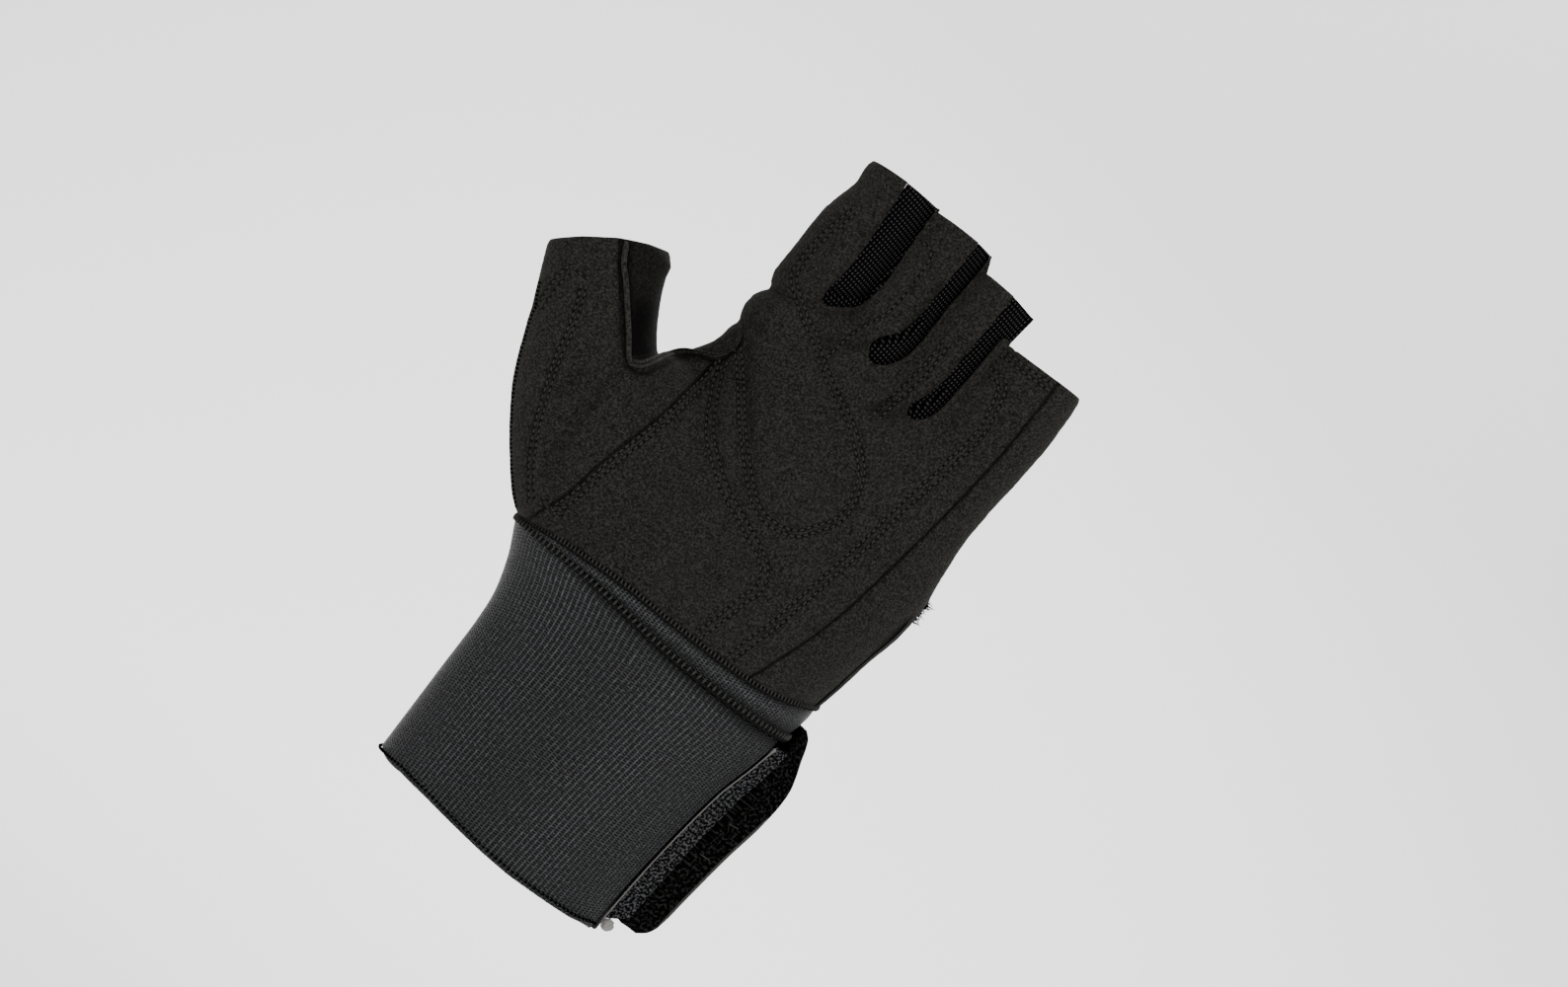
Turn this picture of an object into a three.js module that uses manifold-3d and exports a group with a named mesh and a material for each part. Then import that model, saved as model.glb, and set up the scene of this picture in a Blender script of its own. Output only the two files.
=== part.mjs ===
// A left-hand weightlifting glove with open fingers and an elastic wrist wrap, as worn.
// Millimetres, +Z from the wrist to the fingertips, palm towards -Y, thumb towards -X.
// The origin is the centre of the wrist opening.
import * as THREE from 'three';
import { mergeVertices } from 'three/addons/utils/BufferGeometryUtils.js';
import Module from 'manifold-3d';

const wasm = await Module();
wasm.setup();

// Driving sizes
const CUFF_HEIGHT = 76; // wrist opening to the lower edge of the suede, at the middle
const SEAM_STRIP = 7.5; // height of the knit between the two seams, at the middle
const PALM_HEIGHT = 84; // lower edge of the suede to the knuckle line
const WRIST_WIDTH = 75;
const WRIST_DEPTH = 47;
const PALM_WIDTH = 84.5;
const PALM_DEPTH = 38;
const PALM_OFFSET = 9; // the palm's middle, from the wrist's middle towards the little finger
const INDEX_LENGTH = 44; // knuckle line to hem
const MIDDLE_LENGTH = 43.3;
const RING_LENGTH = 37.5;
const LITTLE_LENGTH = 28;
const STALL_DEPTH = 22;
const STALL_CURL = 11; // how far the stalls have bent towards the palm at their hems
const THUMB_LENGTH = 80; // heel of the palm to the hem, along the thumb
const THUMB_WIDTH = 31.6;
const THUMB_DEPTH = 25;
const THUMB_LEAN = 31.4; // degrees away from the fingers
const WALL = 1.6; // suede, mesh and the stretch fabric of the back
const BAND_WALL = 2.2;
const PAD_RISE = 0.9;
const TAPE_WIDTH = 6;
const TAPE_WALL = 1.2;
const TAB_WIDTH = 12; // from the wrist's side to the tab's outer edge
const TAB_WALL = 2;
const TAB_HEIGHT = 68;
const BINDING = 1; // radius of the raised seam on the thumb and the web
const GAP = 0.3; // between neighbouring pieces
const FACETING = 0.05; // how far a facet may lie from the form that it follows

const HALF = PALM_WIDTH / 2;
const KNUCKLES = CUFF_HEIGHT + PALM_HEIGHT;
const SPACE = 150; // reach of a cutting block past the glove
const radians = THREE.MathUtils.degToRad;

// Places on the palm: u across it from -1 to 1, v up it from the suede's edge to the knuckles
const across = (u) => PALM_OFFSET + u * HALF;
const up = (v) => CUFF_HEIGHT + v * PALM_HEIGHT;
const onPalm = ([u, v]) => [across(u), up(v)];

// Smooth values between the rows of a table, each row a list of numbers led by its place
function between(table, at) {
  let i = 0;
  while (i < table.length - 2 && table[i + 1][0] <= at) i += 1;
  const slope = (j, k) => {
    const a = table[Math.max(j - 1, 0)];
    const b = table[Math.min(j + 1, table.length - 1)];
    return (b[k] - a[k]) / (b[0] - a[0]);
  };
  const [a, b] = [table[i], table[i + 1]];
  const span = b[0] - a[0];
  const t = (at - a[0]) / span;
  return a.map((value, k) => value * (1 + 2 * t) * (1 - t) ** 2 + b[k] * t * t * (3 - 2 * t)
    + span * (slope(i, k) * t * (1 - t) ** 2 - slope(i + 1, k) * t * t * (1 - t)));
}

// A limb's section: a rounded oval across (x, z) at its tilt, with its own depth to each side in y
function ringPoint(section, angle, inset) {
  const [cos, sin] = [Math.cos(angle), Math.sin(angle)];
  const round = 2 / section.power;
  const depth = (sin < 0 ? section.front : section.back) - inset;
  const side = (section.half - inset) * Math.sign(cos) * Math.abs(cos) ** round;
  return new THREE.Vector3(
    section.x + side * Math.cos(section.tilt),
    section.y + depth * Math.sign(sin) * Math.abs(sin) ** round,
    section.z + side * Math.sin(section.tilt),
  );
}

// The trunk, wrist and palm in one. The band's rows: share of the cuff's height, flare to the left
// and to the right, tilt in degrees, front and back as shares of half the wrist's depth
const BAND_ROWS = [
  [0, 0, 0, -3.5, 1, 1],
  [0.31, 0.04, 0.1, -3, 0.98, 0.98],
  [0.63, 0.12, 0.36, -2.5, 0.99, 0.96],
  [0.79, 0.42, 0.63, -2, 1.03, 0.93],
  [0.9, 0.84, 0.79, -2, 1.08, 0.88],
];
// The palm's rows: share of its height, left and right edge, tilt in degrees, front and back as
// shares of half the palm's depth, and how far the middle lies towards the palm
const PALM_ROWS = [
  [0, -1.32, 0.9, 4.5, 1.4, 1.03, 0.02],
  [0.17, -1.27, 0.935, 3, 1.36, 1.03, 0.06],
  [0.38, -1.14, 1, 0, 1.16, 1, 0.12],
  [0.62, -1.02, 0.995, -4, 0.98, 0.93, 0.15],
  [0.83, -0.995, 0.98, -8, 0.85, 0.8, 0.22],
  [0.97, -0.99, 0.99, -10, 0.64, 0.62, 0.28],
  [1.03, -0.97, 0.965, -10, 0.44, 0.42, 0.3],
  [1.06, -0.93, 0.92, -10, 0.2, 0.2, 0.3],
];
const FLARE = [-across(PALM_ROWS[0][1]) - WRIST_WIDTH / 2, across(PALM_ROWS[0][2]) - WRIST_WIDTH / 2];
const TRUNK = [
  ...BAND_ROWS.map(([place, left, right, tilt, front, back]) => [
    place, -WRIST_WIDTH / 2 - left * FLARE[0], WRIST_WIDTH / 2 + right * FLARE[1], tilt,
    front * WRIST_DEPTH / 2, back * WRIST_DEPTH / 2, 0,
  ]),
  ...PALM_ROWS.map(([place, left, right, tilt, front, back, middle]) => [
    1 + place, across(left), across(right), tilt,
    front * PALM_DEPTH / 2, back * PALM_DEPTH / 2, -middle * PALM_DEPTH / 2,
  ]),
];

// The trunk's section at a place: 0 at the wrist opening, 1 at the suede's edge, 2 at the knuckles
function trunkSection(place) {
  const [, left, right, tilt, front, back, y] = between(TRUNK, place);
  return {
    x: (left + right) / 2,
    y,
    z: place < 1 ? place * CUFF_HEIGHT : up(place - 1),
    tilt: radians(tilt),
    half: (right - left) / 2,
    front,
    back,
    power: 2.2,
  };
}

// A stall between two sections; middles as shares of the palm, widths as shares of its half
const STALLS = [
  { name: 'index', root: -0.7, tip: -0.67, width: [0.268, 0.28], length: INDEX_LENGTH, tilt: 0 },
  { name: 'middle', root: -0.2, tip: -0.2, width: [0.225, 0.232], length: MIDDLE_LENGTH, tilt: 0 },
  { name: 'ring', root: 0.2, tip: 0.235, width: [0.215, 0.222], length: RING_LENGTH, tilt: -3 },
  { name: 'little', root: 0.675, tip: 0.685, width: [0.28, 0.292], length: LITTLE_LENGTH, tilt: 4.5 },
];
const STALL_FOOT = 0.22; // how far below the knuckles a stall starts, as a share of the palm
const LONGEST = Math.max(...STALLS.map((stall) => stall.length));

function stallSection(stall, share) {
  const foot = up(1 - STALL_FOOT);
  const z = foot + (KNUCKLES + stall.length - foot) * share;
  const bent = Math.max(0, (z - foot) / (KNUCKLES + LONGEST - foot));
  const depth = (STALL_DEPTH / 2) * (1.04 - 0.06 * share);
  const fullness = 0.02 * Math.sin(Math.PI * Math.min(share, 1));
  return {
    x: across(THREE.MathUtils.lerp(stall.root, stall.tip, share)),
    y: -0.2 * PALM_DEPTH / 2 - STALL_CURL * bent ** 1.3,
    z,
    tilt: radians(stall.tilt * share),
    half: PALM_WIDTH * (THREE.MathUtils.lerp(...stall.width, share) + fullness) / 2,
    front: depth,
    back: depth,
    power: 2.3,
  };
}

// The thumb's rows: share of its length from the hem, shift towards the fingers and half its width
// as shares of the width, half its depth as a share of the depth, and its place towards the palm
const THUMB_ROWS = [
  [0, 0, 0.5, 0.49, 0.84],
  [0.25, -0.058, 0.517, 0.53, 0.7],
  [0.46, -0.044, 0.6, 0.6, 0.56],
  [0.675, 0.02, 0.63, 0.62, 0.44],
  [0.86, 0.01, 0.54, 0.56, 0.36],
  [1, 0, 0.38, 0.42, 0.3],
];
const THUMB_FOOT = [across(-0.92), CUFF_HEIGHT - 0.02 * PALM_HEIGHT];

function thumbSection(share) {
  const [, shift, half, depth, y] = between(THUMB_ROWS, share);
  const lean = radians(THUMB_LEAN);
  const along = THUMB_LENGTH * (1 - share);
  return {
    x: THUMB_FOOT[0] - along * Math.sin(lean) + shift * THUMB_WIDTH * Math.cos(lean),
    y: -y * THUMB_DEPTH,
    z: THUMB_FOOT[1] + along * Math.cos(lean) + shift * THUMB_WIDTH * Math.sin(lean),
    tilt: lean,
    half: half * THUMB_WIDTH,
    front: depth * THUMB_DEPTH,
    back: depth * THUMB_DEPTH,
    power: 2.1,
  };
}

// The web between thumb and palm: middle of each section, its tilt and half width, from the
// thumb's side up to the index finger
const WEB_ROWS = [
  [-1.49, 0.44, -54, 0.14],
  [-1.28, 0.48, -52, 0.14],
  [-1.11, 0.56, -37, 0.14],
  [-0.99, 0.64, -28, 0.14],
  [-0.93, 0.74, -16, 0.09],
  [-0.9, 0.84, -8, 0.06],
];
const WEB_DEPTH = 0.34; // half its depth, as a share of half the palm's depth

function webSection(row) {
  const [u, v, tilt, half] = row;
  const depth = WEB_DEPTH * PALM_DEPTH / 2;
  return {
    x: across(u),
    y: -0.42 * PALM_DEPTH / 2 + (u + 1.49) * 0.25 * PALM_DEPTH / 2,
    z: up(v),
    tilt: radians(tilt),
    half: half * HALF,
    front: depth,
    back: depth,
    power: 2,
  };
}

// A closed solid through sections, with flat ends
function loft(sections, sides, inset) {
  const positions = [];
  const index = [];
  sections.forEach((section) => {
    for (let k = 0; k < sides; k += 1) {
      positions.push(...ringPoint(section, (2 * Math.PI * k) / sides, inset));
    }
  });
  for (let row = 0; row < sections.length - 1; row += 1) {
    for (let k = 0; k < sides; k += 1) {
      const [a, b] = [row * sides + k, row * sides + ((k + 1) % sides)];
      index.push(a, b, b + sides, a, b + sides, a + sides);
    }
  }
  const top = (sections.length - 1) * sides;
  for (let k = 1; k < sides - 1; k += 1) {
    index.push(0, k + 1, k);
    index.push(top, top + k, top + k + 1);
  }
  const geometry = new THREE.BufferGeometry();
  geometry.setAttribute('position', new THREE.Float32BufferAttribute(positions, 3));
  geometry.setIndex(index);
  return toSolid(geometry);
}

function toSolid(geometry) {
  const bare = geometry.clone();
  bare.deleteAttribute('normal');
  bare.deleteAttribute('uv');
  const merged = mergeVertices(bare, 1e-4);
  return new wasm.Manifold(new wasm.Mesh({
    numProp: 3,
    vertProperties: new Float32Array(merged.attributes.position.array),
    triVerts: new Uint32Array(merged.index.array),
  }));
}

const steps = (count) => Array.from({ length: count + 1 }, (_, i) => i / count);

// The space of the whole glove, grown outwards (or inwards for the hollow) by an inset
function handForm(inset) {
  const hollow = inset > 0;
  const trunk = TRUNK.map((row) => trunkSection(row[0]));
  const extra = [0.16, 0.47, 1.09, 1.27, 1.5, 1.73, 1.92].map(trunkSection);
  const sections = [...trunk, ...extra].sort((a, b) => a.z - b.z);
  if (hollow) {
    sections.at(-1).z -= inset;
    sections.at(-2).z -= inset / 2;
    sections.unshift({ ...sections[0], z: sections[0].z - 20 });
  }
  const parts = [loft(sections, 28, inset)];
  STALLS.forEach((stall) => {
    const rings = steps(4).map((share) => stallSection(stall, share));
    if (hollow) rings.push(stallSection(stall, 1.2));
    parts.push(loft(rings, 16, inset));
  });
  const thumb = steps(8).map((share) => thumbSection(1 - share));
  if (hollow) thumb.push({ ...thumbSection(0), ...beyondHem() });
  parts.push(loft(thumb, 18, inset));
  parts.push(loft(WEB_ROWS.map(webSection), 12, inset));
  return wasm.Manifold.union(parts);
}

function beyondHem() {
  const hem = thumbSection(0);
  const lean = radians(THUMB_LEAN);
  return { x: hem.x - 10 * Math.sin(lean), z: hem.z + 10 * Math.cos(lean) };
}

// Blocks that cut the walls: an outline seen from the front, run through from one y to another
function block(outline, from, to, grow = 0) {
  const shape = new THREE.Shape(grown(outline, grow).map(([x, z]) => new THREE.Vector2(x, z)));
  const geometry = new THREE.ExtrudeGeometry(shape, { depth: to - from, bevelEnabled: false });
  geometry.rotateX(Math.PI / 2);
  geometry.translate(0, to, 0);
  return toSolid(geometry);
}

// An outline moved outwards by an amount, corner by corner
function grown(outline, amount) {
  const turn = THREE.ShapeUtils.area(outline.map(([x, y]) => new THREE.Vector2(x, y))) > 0 ? 1 : -1;
  return outline.map((point, i) => {
    const before = outline[(i + outline.length - 1) % outline.length];
    const after = outline[(i + 1) % outline.length];
    const along = new THREE.Vector2(after[0] - before[0], after[1] - before[1]).normalize();
    return [point[0] + turn * amount * along.y, point[1] - turn * amount * along.x];
  });
}

// A smooth line through a few points, seen from the front
function smooth(points, count) {
  const curve = new THREE.CatmullRomCurve3(points.map(([x, z]) => new THREE.Vector3(x, 0, z)));
  return curve.getPoints(count).map(({ x, z }) => [x, z]);
}

// Everything behind a line in the side view, of points (y, z), shifted by an amount
function behind(points, shift) {
  const line = points.map(([y, z]) => [y + shift, z]);
  const outline = [...line, [SPACE, line.at(-1)[1]], [SPACE, line[0][1]]];
  const shape = new THREE.Shape(outline.map(([y, z]) => new THREE.Vector2(y, z)));
  const geometry = new THREE.ExtrudeGeometry(shape, { depth: 2 * SPACE, bevelEnabled: false });
  geometry.rotateX(Math.PI / 2);
  geometry.rotateZ(Math.PI / 2);
  geometry.translate(-SPACE, 0, 0);
  return toSolid(geometry);
}

const group = new THREE.Group();

function addSolid(name, solid, material) {
  const pieces = solid.decompose().sort((a, b) => b.volume() - a.volume());
  const mesh = pieces[0].simplify(FACETING).getMesh();
  const geometry = new THREE.BufferGeometry();
  geometry.setAttribute('position', new THREE.BufferAttribute(mesh.vertProperties, 3));
  geometry.setIndex(new THREE.BufferAttribute(mesh.triVerts, 1));
  geometry.computeVertexNormals();
  addMesh(name, geometry, material);
}

function addMesh(name, geometry, material) {
  const mesh = new THREE.Mesh(geometry, material);
  mesh.name = name;
  group.add(mesh);
}

const suede = new THREE.MeshStandardMaterial({ color: 0x2a2926, roughness: 0.95, metalness: 0 });
const knit = new THREE.MeshStandardMaterial({ color: 0x2d2e30, roughness: 0.85, metalness: 0 });
const net = new THREE.MeshStandardMaterial({ color: 0x141414, roughness: 0.8, metalness: 0 });
const stretch = new THREE.MeshStandardMaterial({ color: 0x1f1f21, roughness: 0.85, metalness: 0 });
const hooks = new THREE.MeshStandardMaterial({ color: 0x3a3b3d, roughness: 0.7, metalness: 0 });
const pile = new THREE.MeshStandardMaterial({ color: 0x0f0f10, roughness: 1, metalness: 0 });

// Seams between the panels, places on the palm from the suede's edge upwards
const ULNAR_SEAM = [[0.33, -0.15], [0.43, 0], [0.62, 0.29], [0.735, 0.64], [0.81, 1], [0.82, 1.45]];
const THUMB_SEAM = [[-1.3, -0.15], [-1.2, 0.03], [-1.09, 0.17], [-0.98, 0.42], [-0.94, 0.71]];
// The raised seam on the thumb: share of the thumb's length from the hem, and place across it as a
// share of its width
const RIDGE = [[-0.1, 0.12], [0, 0.13], [0.16, 0.175], [0.28, 0.215], [0.376, 0.27]];
// Slots between neighbouring stalls: edges, the lowest point, and how far its foot leans
const SLOTS = [
  { name: 'index_middle', left: -0.66, right: -0.42, low: -0.62, foot: 1.065 },
  { name: 'middle_ring', left: -0.105, right: 0.005, low: -0.15, foot: 1.015 },
  { name: 'ring_little', left: 0.27, right: 0.375, low: 0.22, foot: 0.955 },
];
const SLOT_TOP = 1.7;
// The quilted pads, closed outlines on the palm
const DROP_PAD = [
  [-0.86, 0.83], [-0.568, 0.613], [-0.26, 0.452], [0, 0.423], [0.22, 0.49], [0.29, 0.6],
  [0.24, 0.73], [0.024, 0.815], [-0.308, 0.887], [-0.568, 0.97], [-0.83, 1.03], [-0.9, 0.93],
];
const HEEL_PAD = [
  [-0.9, 0.67], [-0.805, 0.595], [-0.568, 0.476], [-0.213, 0.381], [0.071, 0.304], [0.166, 0.202],
  [0.083, 0.095], [0.03, 0.05], [-0.5, 0.03], [-1.1, 0.04], [-1.06, 0.17], [-0.95, 0.42],
];

// A place on the thumb, seen from the front, from its length share and its share across
function onThumb([share, side]) {
  const lean = radians(THUMB_LEAN);
  const along = THUMB_LENGTH * (1 - share);
  return [
    THUMB_FOOT[0] - along * Math.sin(lean) + side * THUMB_WIDTH * Math.cos(lean),
    THUMB_FOOT[1] + along * Math.cos(lean) + side * THUMB_WIDTH * Math.sin(lean),
  ];
}

// The middle of the hand and of the thumb in the side view, from below to above
const HAND_MIDDLE = [
  ...[1, 1.17, 1.38, 1.62].map(trunkSection),
  ...steps(4).map((share) => stallSection(STALLS[1], share)),
].map(({ y, z }) => [y, z]);
const THUMB_MIDDLE = steps(6).map((share) => thumbSection(1 - share)).map(({ y, z }) => [y, z]);

function extended(line) {
  const [first, last] = [line[0], line.at(-1)];
  return [[first[0], first[1] - SPACE], ...line, [last[0] - 3, last[1] + SPACE / 4]];
}

// The walls above the band, cut into panels one after the other, each clear of the last by the gap
const edge = trunkSection(1);
const aboveBand = toSolid(new THREE.BoxGeometry(4 * SPACE, 4 * SPACE, 4 * SPACE)
  .translate(0, 0, 2 * SPACE).rotateY(-edge.tilt).translate(edge.x, 0, edge.z));
const outside = handForm(0);
let uncut = outside.subtract(handForm(WALL)).intersect(aboveBand);

function take(region) {
  const piece = uncut.intersect(region(0));
  uncut = uncut.subtract(region(GAP));
  return piece;
}

const everything = toSolid(new THREE.BoxGeometry(4 * SPACE, 4 * SPACE, 4 * SPACE));
const handFront = (grow, shift = 0) => everything
  .subtract(behind(extended(HAND_MIDDLE), shift + grow));
const thumbFront = (grow, shift = 0) => everything
  .subtract(behind(extended(THUMB_MIDDLE), shift + grow));

function slotOutline({ left, right, low, foot }) {
  const lower = smooth([
    [left, SLOT_TOP - 0.35], [left, foot + 0.16], [(left + low) / 2, foot + 0.06], [low, foot],
    [low + 0.3 * (right - low), foot + 0.012], [right - 0.01, foot + 0.06], [right, foot + 0.15],
    [right, SLOT_TOP - 0.35],
  ].map(onPalm), 24);
  return [onPalm([left, SLOT_TOP]), ...lower, onPalm([right, SLOT_TOP])];
}

// The mesh between two stalls: the slot seen from the front and the wall that both stalls share
const BACK_SEAM = 0.42 * STALL_DEPTH / 2; // from the middle of the stalls to the back's seam
SLOTS.forEach((slot) => {
  const wall = [[-0.09, 0.02], [0.055, 0.02], [0.055, SLOT_TOP - slot.foot], [-0.09, SLOT_TOP - slot.foot]]
    .map(([side, rise]) => onPalm([slot.right + side, slot.foot + rise]));
  const piece = take((grow) => block(slotOutline(slot), -SPACE, SPACE, grow)
    .add(block(wall, -SPACE, SPACE, grow).subtract(handFront(-grow)))
    .intersect(handFront(grow, BACK_SEAM)));
  addSolid(`fourchette_${slot.name}`, piece, net);
});

// The strip along the little-finger edge reaches round to the back
const SIDE_WRAP = 4;
const ulnarSide = [...smooth(ULNAR_SEAM.map(onPalm), 14), [SPACE, up(1.45)], [SPACE, up(-0.15)]];
addSolid('side_panel', take((grow) => block(ulnarSide, -SPACE, SPACE, grow)
  .intersect(handFront(grow, SIDE_WRAP))), suede);

// The inner side of the thumb, right of the raised seam
const GUSSET_WRAP = 7;
const ridgeLine = smooth(RIDGE.map(onThumb), 8);
const innerThumb = [
  ...ridgeLine, onPalm([-1.27, 0.6]), onPalm([-1.13, 0.8]), onPalm([-1.13, 1.3]), onPalm([-1.9, 1.3]),
];
addSolid('thumb_gusset', take((grow) => block(innerThumb, -SPACE, SPACE, grow)
  .intersect(thumbFront(grow, GUSSET_WRAP))), suede);

const thumbSide = [
  ...smooth(THUMB_SEAM.map(onPalm), 12), onPalm([-1.13, 0.8]), onPalm([-1.13, 1.3]), [-SPACE, up(1.3)],
  [-SPACE, up(-0.15)],
];
const thumbArea = (grow) => block(thumbSide, -SPACE, SPACE, grow);
const webArea = block([[-1.38, 0.3], [-0.8, 0.3], [-0.8, 0.9], [-1.2, 0.9]].map(onPalm), -SPACE, SPACE);
addSolid('thumb_panel', take((grow) => thumbArea(grow)
  .intersect(thumbFront(grow).add(handFront(grow).intersect(webArea)))), suede);

// The palm and its raised pads
const palmArea = (grow) => handFront(grow).subtract(thumbArea(GAP - grow));
const palm = take(palmArea);
const raised = handForm(-PAD_RISE).subtract(handForm(WALL / 2)).intersect(palmArea(0));
const pads = [DROP_PAD, HEEL_PAD].map((outline) => {
  const points = smooth([...outline, outline[0]].map(onPalm), 40).slice(0, -1);
  return raised.intersect(block(points, -SPACE, SPACE)).intersect(aboveBand);
});
addSolid('palm_panel', wasm.Manifold.union([palm, ...pads]), suede);
addSolid('back_panel', uncut, stretch);

// The raised seam, down the thumb and then round the web, lying on the panels
const bindingSection = new THREE.Shape().absarc(0, 0, BINDING, 0, 2 * Math.PI);

function addBinding(name, path) {
  const tube = toSolid(new THREE.ExtrudeGeometry(bindingSection, {
    steps: 14, curveSegments: 8, bevelEnabled: false, extrudePath: new THREE.CatmullRomCurve3(path),
  }));
  addSolid(name, tube.subtract(handForm(-GAP)), suede);
}

addBinding('thumb_ridge', RIDGE.slice(1).map(([share, side]) => {
  const section = thumbSection(share);
  const shift = between(THUMB_ROWS, share)[1];
  const reach = ((side - shift) * THUMB_WIDTH) / section.half;
  return ringPoint(section, -Math.acos(reach ** (section.power / 2)), -BINDING - GAP);
}));
addBinding('web_binding', WEB_ROWS.slice(1, 5)
  .map((row) => ringPoint(webSection(row), radians(205), -BINDING - GAP)));

// The strip of knit between the seams: a ring in line with the suede above and the band below
const BAND_TOP = 1 - SEAM_STRIP / CUFF_HEIGHT;
const gapShare = GAP / CUFF_HEIGHT;
const stripSections = steps(2)
  .map((share) => trunkSection(THREE.MathUtils.lerp(BAND_TOP + gapShare, 1 - gapShare, share)));
const first = stripSections[0];
const last = stripSections.at(-1);
const stripHollow = [{ ...first, z: first.z - 1 }, ...stripSections, { ...last, z: last.z + 1 }];
addSolid('seam_strip', loft(stripSections, 48, 0).subtract(loft(stripHollow, 48, BAND_WALL)), knit);

// A bent sheet as a closed solid: a grid of points on its two faces, joined round the rim
function sheet(columns, rows, point) {
  const positions = [];
  const index = [];
  const at = (face, i, j) => (face * (rows + 1) + j) * (columns + 1) + i;
  const quad = (a, b, c, d) => index.push(a, b, c, a, c, d);
  [0, 1].forEach((face) => steps(rows).forEach((v) => steps(columns).forEach((u) => {
    positions.push(...point(u, v, face));
  })));
  for (let j = 0; j < rows; j += 1) {
    for (let i = 0; i < columns; i += 1) {
      quad(at(0, i, j), at(0, i + 1, j), at(0, i + 1, j + 1), at(0, i, j + 1));
      quad(at(1, i, j), at(1, i, j + 1), at(1, i + 1, j + 1), at(1, i + 1, j));
    }
    quad(at(0, 0, j), at(0, 0, j + 1), at(1, 0, j + 1), at(1, 0, j));
    quad(at(0, columns, j), at(1, columns, j), at(1, columns, j + 1), at(0, columns, j + 1));
  }
  for (let i = 0; i < columns; i += 1) {
    quad(at(0, i, 0), at(1, i, 0), at(1, i + 1, 0), at(0, i + 1, 0));
    quad(at(0, i, rows), at(0, i + 1, rows), at(1, i + 1, rows), at(1, i, rows));
  }
  const geometry = new THREE.BufferGeometry();
  geometry.setAttribute('position', new THREE.Float32BufferAttribute(positions, 3));
  geometry.setIndex(index);
  geometry.computeVertexNormals();
  return geometry;
}

// The band, from its end in front of the little-finger side round to its end behind that side
const BAND_START = [-14, -6]; // degrees, at the hem and at the top
const BAND_END = 8 - 360;
const bandStart = (place) => THREE.MathUtils.lerp(...BAND_START, place / BAND_TOP);
addMesh('wrist_band', sheet(44, 9, (u, v, face) => {
  const place = v * BAND_TOP;
  const angle = radians(THREE.MathUtils.lerp(BAND_END, bandStart(place), u));
  return ringPoint(trunkSection(place), angle, face * BAND_WALL);
}), knit);

// The tape goes on from the band's front end, out past the wrist's side
const TAPE_TURN = radians(25);
const TAPE_ENDS = [0.02, 0.99]; // lower and upper end, as shares of the band

function tapeStart(place) {
  const within = THREE.MathUtils.clamp(place, TAPE_ENDS[0] * BAND_TOP, TAPE_ENDS[1] * BAND_TOP);
  return ringPoint(trunkSection(within), radians(bandStart(within) + 3), -GAP);
}

addMesh('hook_tape', sheet(2, 12, (u, v, face) => {
  const start = tapeStart(BAND_TOP * THREE.MathUtils.lerp(...TAPE_ENDS, v));
  const width = TAPE_WIDTH * (1 - 0.35 * v ** 3);
  start.x += u * width * Math.cos(TAPE_TURN) - face * TAPE_WALL * Math.sin(TAPE_TURN);
  start.y += u * width * Math.sin(TAPE_TURN) + face * TAPE_WALL * Math.cos(TAPE_TURN);
  return start;
}), hooks);

// The tab lies on the band behind the little-finger side, then turns outwards along the tape's back.
// Its outer edge: share of its height, share of its width
const TAB_EDGE = [
  [0, 0.8], [0.05, 0.93], [0.16, 1], [0.45, 1.05], [0.72, 1.02], [0.86, 0.78], [0.96, 0.5], [1, 0.35],
];
const TAB_FOOT = 5;

function behindTape(place, x) {
  const start = tapeStart(place);
  const along = THREE.MathUtils.clamp(x - start.x, 0, TAPE_WIDTH);
  return start.y + along * Math.tan(TAPE_TURN) + TAPE_WALL / Math.cos(TAPE_TURN) + 3 * GAP;
}

addMesh('loop_tab', sheet(14, 16, (u, v, face) => {
  const place = (TAB_FOOT + v * TAB_HEIGHT) / CUFF_HEIGHT;
  const section = trunkSection(place);
  const side = section.x + section.half;
  const reach = TAB_WIDTH * between(TAB_EDGE, v)[1];
  const { z } = ringPoint(section, 0, 0);
  const laid = [52, 36, 20].map((angle) => ringPoint(section, radians(angle), -GAP).setZ(z));
  const free = [0.3, 0.65, 1].map((share) => side + share * reach)
    .map((x) => new THREE.Vector3(x, behindTape(place, x), z));
  const path = new THREE.CatmullRomCurve3([...laid, ...free]);
  const tangent = path.getTangent(u);
  const outwards = new THREE.Vector3(-tangent.y, tangent.x, 0).normalize();
  return path.getPoint(u).addScaledVector(outwards, face * TAB_WALL);
}), pile);

export default group;
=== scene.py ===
"""A left-hand weightlifting glove with open fingers and an elastic wrist wrap, as worn."""

import math
from contextlib import contextmanager
from functools import cache

import bmesh
import bpy
import numpy as np
from bpy.props import FloatProperty, FloatVectorProperty, PointerProperty
from mathutils import Matrix, Vector, noise
from mathutils.bvhtree import BVHTree

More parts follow.
